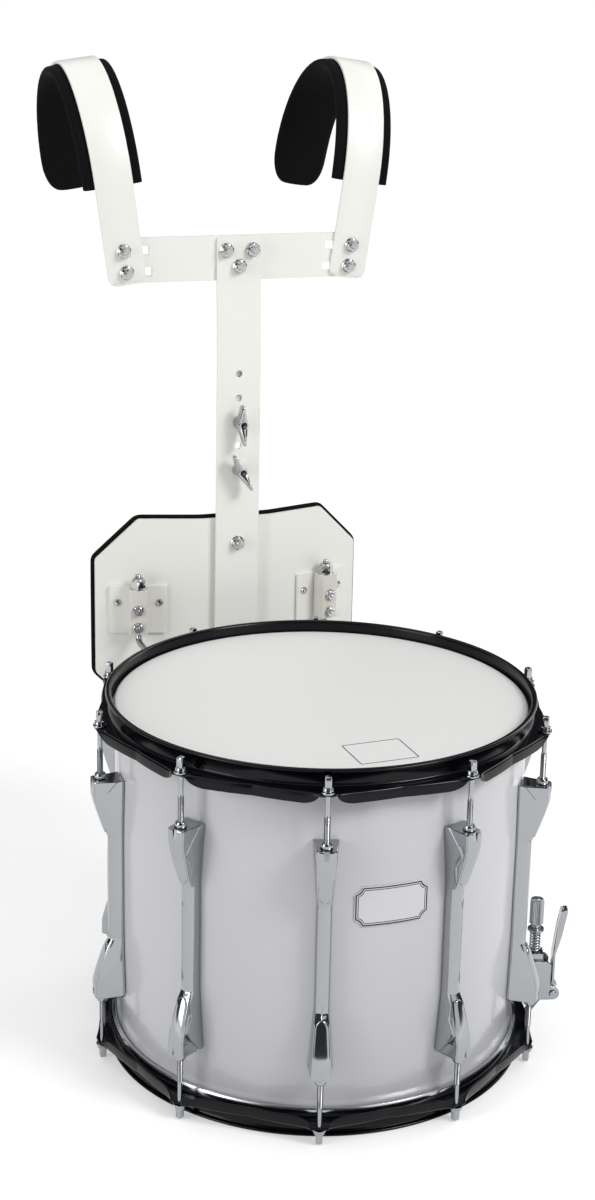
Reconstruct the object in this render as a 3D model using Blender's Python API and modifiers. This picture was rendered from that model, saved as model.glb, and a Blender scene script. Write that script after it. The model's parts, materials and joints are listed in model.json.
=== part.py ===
"""Marching side drum, 14 x 12 inches, hooked on a shoulder carrier.

The drum stands on its bottom hoop. Z is up, -Y is the drum's front and +Y is the wearer's side.
Pieces are laid out about the drum's own axis, and the whole is then moved so that the origin
is under the middle of its bounding box.
"""

import math

import bmesh
import bpy
from mathutils import Matrix, Vector

MM = 0.001

# Clearances
GAP = 0.3 * MM                   # between pieces that seat on each other
HOLE_GAP = 0.35 * MM             # radial clearance of a screw in its hole

# Shell and heads
SHELL_RADIUS = 176.5 * MM
SHELL_WALL = 7.0 * MM
SHELL_DEPTH = 305.0 * MM
BEARING_EDGE = 5.0 * MM
FILM = 0.4 * MM
HOOP_RISE = 10.0 * MM            # the hoop's rim stands this far above the bearing edge
RING_STEPS = 54

# Flesh hoops and counter hoops
FLESH_WIDTH = 4.7 * MM
FLESH_HEIGHT = 8.0 * MM
HOOP_OUT = 3.0 * MM              # inside of the hoop's wall beyond the shell
HOOP_RADIUS = SHELL_RADIUS + HOOP_OUT
HOOP_SHEET = 1.6 * MM
RIM_WIDTH = 5.0 * MM
RIM_THICK = 3.0 * MM
RIM_ROUND = 1.1 * MM
FLANGE_DROP = 15.0 * MM          # rim to the flange's outer face
EAR_OUT = 19.5 * MM              # ears beyond the hoop's inside
EAR_REACH = HOOP_RADIUS + EAR_OUT
EAR_HALF_WIDTH = 7.5 * MM
SKIRT_OUT = 9.0 * MM             # the same, midway between two ears
SKIRT_REACH = HOOP_RADIUS + SKIRT_OUT
SKIRT_DEPTH = 9.5 * MM
SKIRT_RUNOUT = 22.0 * MM
HOOP_ANGLES = (0.0, 2.3, 4.4, 7.5, 12.5)
GATE_WIDTH = 26.0 * MM
GATE_LOW = 3.6 * MM
GATE_HIGH = 13.0 * MM

# Tuning
ROD_COUNT = 10
FIRST_ROD = 18.0                 # degrees from the front
ROD_OUT = 15.3 * MM              # rods' axes beyond the hoop's inside
ROD_CIRCLE = HOOP_RADIUS + ROD_OUT
ROD_RADIUS = 2.7 * MM
SHANK_RADIUS = 2.1 * MM
SHANK_LENGTH = 19.0 * MM
COLLAR_RADIUS = 5.3 * MM
COLLAR_HEIGHT = 4.6 * MM
KEY_SQUARE = 5.9 * MM
KEY_HEIGHT = 9.0 * MM
NUT_RADIUS = 3.9 * MM
NUT_PROUD = 5.0 * MM
NUT_BORE = 14.0 * MM

# Lugs
LUG_LENGTH = 202.0 * MM
LUG_DEPTH = 27.6 * MM
LUG_WIDTH = 21.6 * MM
LUG_SQUARE_END = 12.0 * MM
LUG_CASE = 57.0 * MM
PANEL_LENGTH = 50.0 * MM
PANEL_WIDTH = 12.4 * MM
PANEL_TIP_WIDTH = 9.5 * MM
PANEL_PROUD = 1.2 * MM
CHEEK_LENGTH = 21.0 * MM
BAR_DEPTH = 14.0 * MM
BAR_WIDTH = 13.4 * MM
BAR_FLAT = 7.0 * MM
LUG_STATIONS = (0.0, 12.0, 22.0, 49.0, 51.5, 60.0)

# Badge plate
BADGE_WIDTH = 61.5 * MM
BADGE_HEIGHT = 43.6 * MM
BADGE_CLIP = 11.0 * MM
BADGE_THICK = 1.0 * MM
BADGE_CENTRE = 201.0 * MM

# Snare strainer, turned to STRAINER_ANGLE; the butt is opposite
STRAINER_ANGLE = 72.0
BASE_WIDTH = 20.0 * MM
CHEEK = 2.6 * MM
BACK_PLATE = 3.0 * MM
BASE_LOW = 31.0 * MM
BASE_HIGH = 67.0 * MM
BACK_HIGH = 84.0 * MM
PIVOT_OUT = 9.0 * MM              # beyond the strap's middle
PIVOT_HEIGHT = 39.0 * MM
PIVOT_BOSS = 6.0 * MM
PIVOT_RADIUS = 2.2 * MM
NOSE_OUT = 4.2 * MM               # cheeks beyond the pivot
BASE_CHAMFER = 12.0 * MM
LEVER_WIDTH = 13.6 * MM
LEVER_SHEET = 2.6 * MM
LEVER_KNEE = 76.0 * MM
LEVER_LEAN = 9.6 * MM             # tip beyond the pivot
LEVER_TIP_HEIGHT = 121.0 * MM
LEVER_WINDOW = 9.6 * MM
CARRIAGE_WIDTH = 14.0 * MM
CARRIAGE_LOW = 42.0 * MM
CARRIAGE_HIGH = 76.7 * MM
KNOB_IN = 7.5 * MM                # screw behind the carriage's front
CARRIAGE_BACK = 8.7 * MM          # carriage behind the screw
KNOB_RADIUS = 5.4 * MM
KNOB_LOW = 102.0 * MM
KNOB_HIGH = 128.0 * MM
KNOB_FLUTES = 8
SCREW_RADIUS = 2.2 * MM
SCREW_LOW = 52.0 * MM
COLLAR_LOW = 97.0 * MM
SPRING_RADIUS = 4.0 * MM
SPRING_WIRE = 0.55 * MM
SPRING_TURNS = 7
STRAP_WIDTH = 14.0 * MM
STRAP_SHEET = 0.6 * MM
STRAP_OUT = 28.0 * MM             # strap's middle beyond the base's back
STRAP_TOP = 49.0 * MM
CLAMP_LOW = 42.5 * MM
CLAMP_HIGH = 66.0 * MM
CLAMP_SHEET = 1.6 * MM
CLAMP_SCREW_HEIGHT = 60.0 * MM
WIRE_LENGTH = 292.0 * MM
WIRE_BAND = 36.0 * MM
WIRE_COUNT = 10
WIRE_THICK = 0.8 * MM
END_PLATE = 14.0 * MM
BUTT_WIDTH = 26.0 * MM
BUTT_HIGH = 62.0 * MM
BUTT_SCREW_X = 6.5 * MM

# Carrier, front faces measured along Y from the drum's axis
SPINE_FRONT = 243.0 * MM
SPINE_WIDTH = 42.0 * MM
SPINE_LOW = 330.0 * MM
PLATE = 3.0 * MM
JOG_START = 568.0 * MM
JOG_HEIGHT = 62.0 * MM
JOG_SLOPE = math.tan(math.radians(3.0))
HOLE_PITCH = 22.75 * MM
TRAVEL_HOLES = 2
UPPER_STUD = 502.9 * MM
BELLY_STUD = 385.5 * MM
STUD_RADIUS = 3.1 * MM
STUD_HEAD_RADIUS = 6.3 * MM
STUD_HEAD = 2.6 * MM
UPRIGHT_HIGH = 566.0 * MM
UPRIGHT_LOW = 232.0 * MM
UPRIGHT_WIDTH = 38.0 * MM
BAR_LOW = 635.0 * MM
BAR_HIGH = 676.0 * MM
BAR_REACH = 121.0 * MM
BAR_BOLT_X = 12.6 * MM
BAR_BOLT_HIGH = 662.9 * MM
BAR_BOLT_LOW = 647.9 * MM
SQUARE_HOLE = 8.0 * MM
SQUARE_HOLE_INSET = 20.5 * MM
NUT_ACROSS = 11.0 * MM
NUT_THICK = 5.0 * MM
BOLT_PROUD = 4.6 * MM
BELLY_HIGH = 409.0 * MM
BELLY_LOW = 216.0 * MM
BELLY_HALF = 131.0 * MM
BELLY_CLIP = 39.7 * MM
WING_START = 34.0 * MM
WING_SLOPE = math.tan(math.radians(15.0))
BELLY_PAD_THICK = 10.0 * MM
BELLY_PAD_LAP = 4.0 * MM

# Wing nuts
WING_SPAN = 39.0 * MM
WING_PROUD = 20.0 * MM
WING_SHEET = 2.4 * MM
WING_HUB_RADIUS = 6.0 * MM
WING_HUB_LENGTH = 9.0 * MM
WING_TURNS = (3.0, 27.0)

# Hook brackets on the belly plate's wings
BRACKET_X = 91.5 * MM
BRACKET_LOW = 297.0 * MM
BRACKET_HIGH = 344.6 * MM
BRACKET_WIDTH = 55.0 * MM
BRACKET_SCREW_X = 20.0 * MM
BRACKET_SCREW_Z = 327.6 * MM
BLOCK_WIDTH = 18.0 * MM
BLOCK_DEPTH = 16.4 * MM
BLOCK_LOW = 300.6 * MM
BLOCK_HIGH = 344.0 * MM
CLAMP_HEIGHTS = (324.6 * MM, 307.3 * MM)
J_RADIUS = 3.0 * MM
J_STUB = 14.0 * MM
J_ARM = 291.0 * MM
J_BEND = 9.0 * MM
TOP_NUT_ACROSS = 11.4 * MM
TOP_NUT_THICK = 7.6 * MM

# Shoulder hooks, laid out upright about their foot and then leaned outwards
HOOK_FOOT_X = 104.6 * MM
HOOK_FOOT_Z = 634.0 * MM
HOOK_LEAN = 8.0
HOOK_WIDTH = 35.0 * MM
HOOK_SHEET = 3.0 * MM
HOOK_CORNER = 8.0 * MM
HOOK_RISE = 90.0 * MM
HOOK_ARCH = 104.0 * MM
HOOK_FRONT_SPAN = 79.0 * MM
HOOK_REAR_SPAN = 101.0 * MM
HOOK_TAIL = 18.0 * MM
HOOK_FACETS = 7
HOOK_BOLTS = (11.4 * MM, 30.8 * MM)
SHOULDER_PAD_WIDTH = 55.0 * MM
SHOULDER_PAD_THICK = 10.0 * MM
SHOULDER_PAD_DROP = 26.0 * MM
SHOULDER_PAD_START = 88.0 * MM

# Heights that follow
SHELL_LOW = HOOP_RISE
SHELL_HIGH = SHELL_LOW + SHELL_DEPTH
TOTAL = SHELL_HIGH + HOOP_RISE
MIDDLE = TOTAL / 2.0
FLANGE_LOW = TOTAL - FLANGE_DROP - HOOP_SHEET
FILM_INNER = SHELL_RADIUS + GAP
FLESH_OUTER = FILM_INNER + FLESH_WIDTH
FLESH_HIGH = FLANGE_LOW - GAP
LUG_FACE = SHELL_RADIUS + GAP
LUG_HIGH = MIDDLE + LUG_LENGTH / 2.0
STRAP_REACH = LUG_FACE + STRAP_OUT
CARRIAGE_OUTER = STRAP_REACH - STRAP_SHEET / 2.0 - GAP
KNOB_CIRCLE = CARRIAGE_OUTER - KNOB_IN
CARRIAGE_INNER = KNOB_CIRCLE - CARRIAGE_BACK
PIVOT_REACH = STRAP_REACH + PIVOT_OUT
BASE_NOSE = PIVOT_REACH + NOSE_OUT
LEVER_TIP_REACH = PIVOT_REACH + LEVER_LEAN
SPINE_BACK = SPINE_FRONT + PLATE
UPRIGHT_FRONT = SPINE_BACK + GAP
BELLY_FRONT = UPRIGHT_FRONT + PLATE + GAP
PAD_FRONT = BELLY_FRONT + PLATE + GAP
CROSSBAR_FRONT = SPINE_BACK + JOG_HEIGHT * JOG_SLOPE + GAP
TRAVEL = TRAVEL_HOLES * HOLE_PITCH
LOWER_STUD = UPPER_STUD - 2.0 * HOLE_PITCH

# Axes of a side profile drawn outwards from the drum, and of an outline that faces the front
OUTWARDS = Matrix(((0, 0, -1, 0), (-1, 0, 0, 0), (0, 1, 0, 0), (0, 0, 0, 1)))
FACING = Matrix(((1, 0, 0, 0), (0, 0, -1, 0), (0, 1, 0, 0), (0, 0, 0, 1)))

parts = None
cutters = None
finishes = {}


def start_scene():
    """Empty the file and make one collection for the pieces and one for the cutters."""
    global parts, cutters
    for old in list(bpy.data.objects):
        bpy.data.objects.remove(old, do_unlink=True)
    parts = bpy.data.collections.new("marching_side_drum")
    cutters = bpy.data.collections.new("cutters")
    for group in (parts, cutters):
        bpy.context.scene.collection.children.link(group)


def finish(name, colour, roughness, metallic):
    """A plain surface: base colour, roughness and metallic value."""
    surface = bpy.data.materials.new(name)
    surface.use_nodes = True
    shader = surface.node_tree.nodes["Principled BSDF"]
    shader.inputs["Base Color"].default_value = (*colour, 1.0)
    shader.inputs["Roughness"].default_value = roughness
    shader.inputs["Metallic"].default_value = metallic
    surface.diffuse_color = (*colour, 1.0)
    finishes[name] = surface


def make_finishes():
    finish("white_gloss", (0.78, 0.78, 0.79), 0.2, 0.0)
    finish("coated_film", (0.74, 0.74, 0.73), 0.6, 0.0)
    finish("powder_coat", (0.82, 0.81, 0.78), 0.4, 0.0)
    finish("black_enamel", (0.02, 0.02, 0.025), 0.25, 0.0)
    finish("chrome", (0.72, 0.73, 0.75), 0.1, 1.0)
    finish("zinc", (0.6, 0.6, 0.6), 0.35, 1.0)
    finish("black_foam", (0.03, 0.03, 0.03), 0.9, 0.0)
    finish("strap", (0.65, 0.65, 0.62), 0.5, 0.0)
    finish("badge", (0.7, 0.7, 0.7), 0.3, 0.6)


def face_out(work):
    """Turn every face of a closed shape outwards."""
    bmesh.ops.recalc_face_normals(work, faces=work.faces)
    if work.calc_volume(signed=True) < 0:
        bmesh.ops.reverse_faces(work, faces=work.faces)


def closed_mesh(mesh, weld=1e-6):
    """Weld the loose edges of a mesh and turn its faces outwards."""
    work = bmesh.new()
    work.from_mesh(mesh)
    bmesh.ops.remove_doubles(work, verts=work.verts, dist=weld)
    face_out(work)
    work.to_mesh(mesh)
    work.free()
    return mesh


def taken_mesh(holder):
    """The evaluated mesh of a helper object, which is then removed."""
    scene = bpy.context.scene
    scene.collection.objects.link(holder)
    graph = bpy.context.evaluated_depsgraph_get()
    mesh = bpy.data.meshes.new_from_object(holder.evaluated_get(graph))
    mesh.transform(holder.matrix_world)
    bpy.data.objects.remove(holder, do_unlink=True)
    mesh.materials.clear()
    return closed_mesh(mesh)


def piece(name, mesh, surface, parent=None, place=(0, 0, 0), turn=(0, 0, 0), smooth=35.0):
    """One named piece of the drum."""
    item = bpy.data.objects.new(name, mesh)
    item.location = place
    item.rotation_euler = turn
    item.parent = parent
    mesh.materials.clear()
    mesh.materials.append(finishes[surface])
    mesh.shade_smooth()
    mesh.set_sharp_from_angle(angle=math.radians(smooth))
    parts.objects.link(item)
    return item


def group_point(name, parent, place=(0, 0, 0), turn=(0, 0, 0)):
    """An empty that carries the pieces of one moving group."""
    item = bpy.data.objects.new(name, None)
    item.empty_display_size = 0.02
    item.location = place
    item.rotation_euler = turn
    item.parent = parent
    parts.objects.link(item)
    return item


def turned(profile, steps, ring=False):
    """Turn a profile of (radius, height) about Z; it runs down the outer side."""
    lines = bpy.data.meshes.new("profile")
    edges = [(i, i + 1) for i in range(len(profile) - 1)]
    if ring:
        edges.append((len(profile) - 1, 0))
    lines.from_pydata([(radius, 0.0, height) for radius, height in profile], edges, [])
    holder = bpy.data.objects.new("profile", lines)
    screw = holder.modifiers.new("turn", "SCREW")
    screw.steps = steps
    screw.render_steps = steps
    screw.use_merge_vertices = True
    screw.merge_threshold = 0.00001
    return taken_mesh(holder)


def outlined(outlines, thickness):
    """Fill a flat outline, with further outlines as its holes, and give it a thickness."""
    curve = bpy.data.curves.new("outline", "CURVE")
    curve.dimensions = "2D"
    curve.fill_mode = "BOTH"
    curve.extrude = thickness / 2.0
    for outline in outlines:
        spline = curve.splines.new("POLY")
        spline.points.add(len(outline) - 1)
        spline.use_cyclic_u = True
        for point, (x, y) in zip(spline.points, outline):
            point.co = (x, y, 0.0, 1.0)
    mesh = taken_mesh(bpy.data.objects.new("outline", curve))
    return merged_flats(mesh) if len(outlines) == 1 else mesh


def merged_flats(mesh):
    """One face for each flat side, so that later cuts stay clean."""
    work = bmesh.new()
    work.from_mesh(mesh)
    limit = math.radians(0.2)
    bmesh.ops.dissolve_limit(work, angle_limit=limit, verts=work.verts, edges=work.edges)
    work.to_mesh(mesh)
    work.free()
    return mesh


def tube(route, radius, resolution=2):
    """A round tube along a list of points, with closed ends."""
    curve = bpy.data.curves.new("route", "CURVE")
    curve.dimensions = "3D"
    curve.bevel_depth = radius
    curve.bevel_resolution = resolution
    curve.use_fill_caps = True
    spline = curve.splines.new("POLY")
    spline.points.add(len(route) - 1)
    for point, place in zip(spline.points, route):
        point.co = (*place, 1.0)
    return taken_mesh(bpy.data.objects.new("route", curve))


def lofted(sections, closed=False):
    """Join sections of equal point counts, with flat ends unless the loft closes on itself."""
    work = bmesh.new()
    rings = [[work.verts.new(point) for point in section] for section in sections]
    spans = list(zip(rings, rings[1:]))
    if closed:
        spans.append((rings[-1], rings[0]))
    for near, far in spans:
        for i in range(len(near)):
            j = (i + 1) % len(near)
            work.faces.new((near[i], near[j], far[j], far[i]))
    if not closed:
        work.faces.new(rings[0])
        work.faces.new(list(reversed(rings[-1])))
    face_out(work)
    mesh = bpy.data.meshes.new("loft")
    work.to_mesh(mesh)
    work.free()
    return mesh


def placed(mesh, *moves):
    """A copy of a mesh with placement matrices applied, the first one innermost."""
    copy = mesh.copy()
    for move in moves:
        copy.transform(move)
    return copy


def gathered(meshes):
    """Several separate solids in one mesh, for a set of like fasteners."""
    work = bmesh.new()
    for mesh in meshes:
        work.from_mesh(mesh)
    result = bpy.data.meshes.new("set")
    work.to_mesh(result)
    work.free()
    return result


def combined(item, mesh, operation="DIFFERENCE"):
    """Cut, join or intersect a piece with another closed mesh, kept as a hidden cutter."""
    tool = bpy.data.objects.new(item.name + "_cutter", mesh)
    tool.parent = item
    tool.hide_render = True
    tool.display_type = "WIRE"
    cutters.objects.link(tool)
    boolean = item.modifiers.new(operation.lower(), "BOOLEAN")
    boolean.operation = operation
    boolean.solver = "EXACT"
    boolean.object = tool
    return item


def box(low, high):
    """A rectangular block between two corners."""
    work = bmesh.new()
    bmesh.ops.create_cube(work, size=1.0)
    centre = (Vector(low) + Vector(high)) / 2.0
    extent = Vector(high) - Vector(low)
    for vertex in work.verts:
        vertex.co = centre + Vector(a * b for a, b in zip(vertex.co, extent))
    mesh = bpy.data.meshes.new("box")
    work.to_mesh(mesh)
    work.free()
    return mesh


def rod_mesh(radius, low, high, steps=8):
    """A plain round bar along Z."""
    return turned([(0, high), (radius, high), (radius, low), (0, low)], steps)


def circle(x, y, radius, steps=8, phase=0.0):
    angles = [math.radians(phase) + math.tau * i / steps for i in range(steps)]
    return [(x + radius * math.cos(a), y + radius * math.sin(a)) for a in angles]


def arc(x, y, radius, start, end, steps):
    angles = [math.radians(start + (end - start) * i / steps) for i in range(steps + 1)]
    return [(x + radius * math.cos(a), y + radius * math.sin(a)) for a in angles]


def rounded_rectangle(x0, y0, x1, y1, radius, steps=3):
    points = arc(x1 - radius, y1 - radius, radius, 0, 90, steps)
    points += arc(x0 + radius, y1 - radius, radius, 90, 180, steps)
    points += arc(x0 + radius, y0 + radius, radius, 180, 270, steps)
    points += arc(x1 - radius, y0 + radius, radius, 270, 360, steps)
    return points


def mixed(a, b, share):
    return a + (b - a) * min(max(share, 0.0), 1.0)


def moved(x, y, z):
    return Matrix.Translation((x, y, z))


def spun(degrees, axis="Z"):
    return Matrix.Rotation(math.radians(degrees), 4, axis)


def flipped(mesh):
    """Mirror a top piece to the bottom of the drum."""
    copy = placed(mesh, Matrix.Scale(-1.0, 4, (0, 0, 1)), moved(0, 0, TOTAL))
    return closed_mesh(copy)


def rod_angles():
    return [FIRST_ROD + 360.0 / ROD_COUNT * i for i in range(ROD_COUNT)]


def around(mesh, radius, height=0.0):
    """Copies of a mesh at every tension rod."""
    return [placed(mesh, moved(0, -radius, height), spun(angle)) for angle in rod_angles()]


def make_shell(drum):
    """Ply shell with a bearing edge cut to 45 degrees at both ends."""
    inner = SHELL_RADIUS - SHELL_WALL
    crown = SHELL_RADIUS - (SHELL_WALL - BEARING_EDGE) * 0.6
    profile = [
        (crown, SHELL_HIGH),
        (SHELL_RADIUS, SHELL_HIGH - (SHELL_RADIUS - crown)),
        (SHELL_RADIUS, SHELL_LOW + (SHELL_RADIUS - crown)),
        (crown, SHELL_LOW),
        (inner, SHELL_LOW + (crown - inner)),
        (inner, SHELL_HIGH - (crown - inner)),
    ]
    piece("shell", turned(profile, RING_STEPS, ring=True), "white_gloss", drum)


def make_heads(drum):
    """Films stretched over the bearing edges, each crimped into its flesh hoop."""
    face = SHELL_HIGH + GAP + FILM
    profile = [
        (0, face),
        (FILM_INNER + FILM, face),
        (FILM_INNER + FILM, FLESH_HIGH),
        (FLESH_OUTER, FLESH_HIGH),
        (FLESH_OUTER, FLESH_HIGH - FLESH_HEIGHT),
        (FILM_INNER, FLESH_HIGH - FLESH_HEIGHT),
        (FILM_INNER, face - FILM),
        (0, face - FILM),
    ]
    head = turned(profile, RING_STEPS)
    piece("top_head", head, "coated_film", drum)
    piece("bottom_head", flipped(head), "coated_film", drum)


def skirt_at(degrees):
    """Reach and depth of the hoop's skirt at an angle from the nearest ear."""
    along = ROD_CIRCLE * math.radians(abs(degrees))
    half_gap = ROD_CIRCLE * math.pi / ROD_COUNT
    rise = min(max((along - EAR_HALF_WIDTH) / (SKIRT_RUNOUT - EAR_HALF_WIDTH), 0.0), 1.0)
    scallop = max((along - EAR_HALF_WIDTH) / (half_gap - EAR_HALF_WIDTH), 0.0)
    depth = mixed(HOOP_SHEET, SKIRT_DEPTH, rise * (2.0 - rise))
    reach = mixed(EAR_REACH, SKIRT_REACH, math.sqrt(scallop))
    return reach, depth


def hoop_section(degrees):
    """The pressed sheet's section: rolled rim, wall, flange and turned-down skirt."""
    reach, depth = skirt_at(degrees)
    wall = HOOP_RADIUS + HOOP_SHEET
    flange = TOTAL - FLANGE_DROP
    return [
        (HOOP_RADIUS, FLANGE_LOW),
        (HOOP_RADIUS, TOTAL - RIM_ROUND),
        (HOOP_RADIUS + RIM_ROUND, TOTAL),
        (HOOP_RADIUS + RIM_WIDTH, TOTAL),
        (HOOP_RADIUS + RIM_WIDTH, TOTAL - RIM_THICK),
        (wall, TOTAL - RIM_THICK),
        (wall, flange),
        (reach, flange),
        (reach, flange - depth),
        (reach - HOOP_SHEET, flange - depth),
        (reach - HOOP_SHEET - RIM_ROUND, FLANGE_LOW),
    ]


def hoop_mesh():
    """Sweep the changing section round the drum, ear by ear."""
    half = list(HOOP_ANGLES) + [180.0 / ROD_COUNT]
    offsets = half + [-angle for angle in reversed(half[1:-1])]
    sections = []
    for rod in rod_angles():
        for offset in offsets:
            turn = spun(rod + offset % (360.0 / ROD_COUNT))
            section = hoop_section(offset)
            sections.append([turn @ Vector((0, -radius, height)) for radius, height in section])
    return lofted(sections, closed=True)


def make_hoops(drum):
    """Scalloped steel hoops with an eared flange; the lower one is gated for the snares."""
    mesh = hoop_mesh()
    hole = rod_mesh(SHANK_RADIUS + HOLE_GAP, FLANGE_LOW - 5 * MM, TOTAL - 5 * MM)
    holes = gathered(around(hole, ROD_CIRCLE))
    upper = piece("top_hoop", mesh, "black_enamel", drum)
    combined(upper, holes)
    lower = piece("bottom_hoop", flipped(mesh), "black_enamel", drum)
    combined(lower, flipped(holes))
    reach = HOOP_RADIUS + RIM_WIDTH + 1 * MM
    inside = HOOP_RADIUS - 3 * MM
    gate = box((-GATE_WIDTH / 2, -reach, GATE_LOW), (GATE_WIDTH / 2, -inside, GATE_HIGH))
    gates = [placed(gate, spun(STRAINER_ANGLE)), placed(gate, spun(STRAINER_ANGLE + 180.0))]
    combined(lower, gathered(gates))


def square_ring(side, height):
    """Eight points on a square, so that it lofts to an eight-sided collar."""
    half = side / 2.0
    flat = [(half, 0), (half, half), (0, half), (-half, half)]
    flat += [(-x, -y) for x, y in flat]
    return [Vector((x, y, height)) for x, y in flat]


def round_ring(radius, height, steps=8):
    return [Vector((x, y, height)) for x, y in circle(0, 0, radius, steps)]


def make_tension_rods(drum):
    """Key rods: square head, collar, bare shank and threaded end inside the swivel nut."""
    seat = TOTAL - FLANGE_DROP + GAP
    tip = LUG_HIGH + NUT_PROUD - NUT_BORE + GAP
    thread = FLANGE_LOW - SHANK_LENGTH
    top = seat + COLLAR_HEIGHT + KEY_HEIGHT
    upper = lofted([
        round_ring(ROD_RADIUS, tip),
        round_ring(ROD_RADIUS, thread),
        round_ring(SHANK_RADIUS, thread + GAP),
        round_ring(SHANK_RADIUS, seat),
        round_ring(COLLAR_RADIUS, seat),
        round_ring(COLLAR_RADIUS, seat + COLLAR_HEIGHT),
        square_ring(KEY_SQUARE, seat + COLLAR_HEIGHT),
        square_ring(KEY_SQUARE * 0.86, top),
    ])
    for end, mesh in (("top", upper), ("bottom", flipped(upper))):
        for number, angle in enumerate(rod_angles(), start=1):
            turn = math.radians(angle)
            place = (ROD_CIRCLE * math.sin(turn), -ROD_CIRCLE * math.cos(turn), 0)
            piece(f"tension_rod_{end}_{number:02d}", mesh, "chrome", drum, place, (0, 0, turn))


def lug_section(along):
    """Section of a lug at a distance from its end: back, cheeks and raised panel."""
    taper = min(max((along - LUG_SQUARE_END) / (LUG_CASE - LUG_SQUARE_END), 0.0), 1.0)
    depth = mixed(LUG_DEPTH, BAR_DEPTH, taper ** 1.25)
    back = mixed(LUG_WIDTH, BAR_WIDTH, along / LUG_CASE) / 2.0
    in_panel = along < PANEL_LENGTH
    share = along / PANEL_LENGTH
    front = mixed(PANEL_WIDTH, PANEL_TIP_WIDTH, share) / 2.0 if in_panel else BAR_FLAT / 2.0
    proud = PANEL_PROUD if in_panel else PANEL_PROUD / 8.0
    spread = along / CHEEK_LENGTH
    cheek = mixed(back - proud / 3.0, front + proud, spread)
    cheek_depth = mixed(depth * 0.2, depth - 2.0 * proud, spread)
    if along > LUG_CASE:
        cheek = back - proud
        cheek_depth = BAR_DEPTH * 0.62
    half = [
        (back, 0.0),
        (cheek, cheek_depth),
        (front + proud / 2.0, depth - proud),
        (front, depth),
    ]
    return half + [(-x, y) for x, y in reversed(half)]


def swivel_nut():
    """Rings of the captive swivel nut, from the floor of its bore out to the lug's end."""
    low = LUG_LENGTH / 2.0
    inner = ROD_RADIUS + GAP
    rings = [
        (inner, low + NUT_PROUD - NUT_BORE),
        (inner, low + NUT_PROUD),
        (NUT_RADIUS, low + NUT_PROUD),
        (NUT_RADIUS, low),
    ]
    centre = ROD_CIRCLE - LUG_FACE
    return [
        [Vector((x, y - centre, height)) for x, y in arc(0, 0, radius, 67.5, -247.5, 7)]
        for radius, height in rings
    ]


def make_lugs(drum):
    """Full-length lugs: two deep end casings, each with its swivel nut, joined by a bar."""
    sections = swivel_nut()
    for along in [station * MM for station in LUG_STATIONS]:
        section = lug_section(along)
        sections.append([Vector((x, -y, LUG_LENGTH / 2.0 - along)) for x, y in section])
    for section in reversed(list(sections)):
        sections.append([Vector((p.x, p.y, -p.z)) for p in section])
    mesh = lofted(sections)
    for number, angle in enumerate(rod_angles(), start=1):
        turn = math.radians(angle)
        place = (LUG_FACE * math.sin(turn), -LUG_FACE * math.cos(turn), MIDDLE)
        piece(f"lug_{number:02d}", mesh, "chrome", drum, place, (0, 0, turn), smooth=20.0)


def make_badge(drum):
    """Bare plate with clipped corners, bent to the shell."""
    x = BADGE_WIDTH / 2.0
    y = BADGE_HEIGHT / 2.0
    clip = BADGE_CLIP
    outline = [(x, clip - y), (x, y - clip), (x - clip, y), (clip - x, y)]
    outline += [(-a, -b) for a, b in outline]
    mesh = outlined([outline], BADGE_THICK)
    work = bmesh.new()
    work.from_mesh(mesh)
    strips = 4
    for i in range(1, strips):
        line = Vector((-x + BADGE_WIDTH * i / strips, 0, 0))
        everything = work.verts[:] + work.edges[:] + work.faces[:]
        bmesh.ops.bisect_plane(work, geom=everything, dist=1e-6, plane_co=line, plane_no=(1, 0, 0))
    back = SHELL_RADIUS + GAP
    for vertex in work.verts:
        radius = back + BADGE_THICK / 2.0 + vertex.co.z
        turn = vertex.co.x / back
        vertex.co = (radius * math.sin(turn), -radius * math.cos(turn), vertex.co.y)
    work.to_mesh(mesh)
    work.free()
    piece("badge_plate", mesh, "badge", drum, (0, 0, BADGE_CENTRE))


def strainer_outline():
    """Side of the strainer's cheeks, from the shell out to the lever's pivot."""
    back = SHELL_RADIUS + GAP
    boss = arc(PIVOT_REACH, PIVOT_HEIGHT, PIVOT_BOSS, -80, 20, 5)
    outline = [(back, BASE_LOW), (PIVOT_REACH - BASE_CHAMFER, BASE_LOW)]
    outline += boss
    outline += [(BASE_NOSE, BASE_HIGH - 13 * MM), (BASE_NOSE - 3 * MM, BASE_HIGH - 3 * MM)]
    outline += [(BASE_NOSE - 10 * MM, BASE_HIGH), (back + BACK_PLATE, BASE_HIGH)]
    outline += [(back + BACK_PLATE, BACK_HIGH), (back, BACK_HIGH)]
    return outline


def make_strainer_base(strainer):
    """Two cheeks and a back plate in one casting, with the lever's pin riveted across."""
    mesh = placed(outlined([strainer_outline()], BASE_WIDTH), OUTWARDS)
    base = piece("strainer_base", mesh, "chrome", strainer)
    inside = BASE_WIDTH / 2.0 - CHEEK
    back = SHELL_RADIUS + GAP + BACK_PLATE
    low = (-inside, -BASE_NOSE - 5 * MM, BASE_LOW - 5 * MM)
    combined(base, box(low, (inside, -back, BACK_HIGH + 5 * MM)))
    reach = BASE_WIDTH / 2.0
    head = 1.8 * MM
    profile = [
        (0, reach + head),
        (PIVOT_BOSS * 0.75, reach + head),
        (PIVOT_BOSS * 0.75, reach - head / 2.0),
        (PIVOT_RADIUS, reach - head / 2.0),
        (PIVOT_RADIUS, -reach - head / 2.0),
        (0, -reach - head / 2.0),
    ]
    pin = placed(turned(profile, 8), spun(90, "Y"), moved(0, -PIVOT_REACH, PIVOT_HEIGHT))
    combined(base, pin, "UNION")


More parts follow.
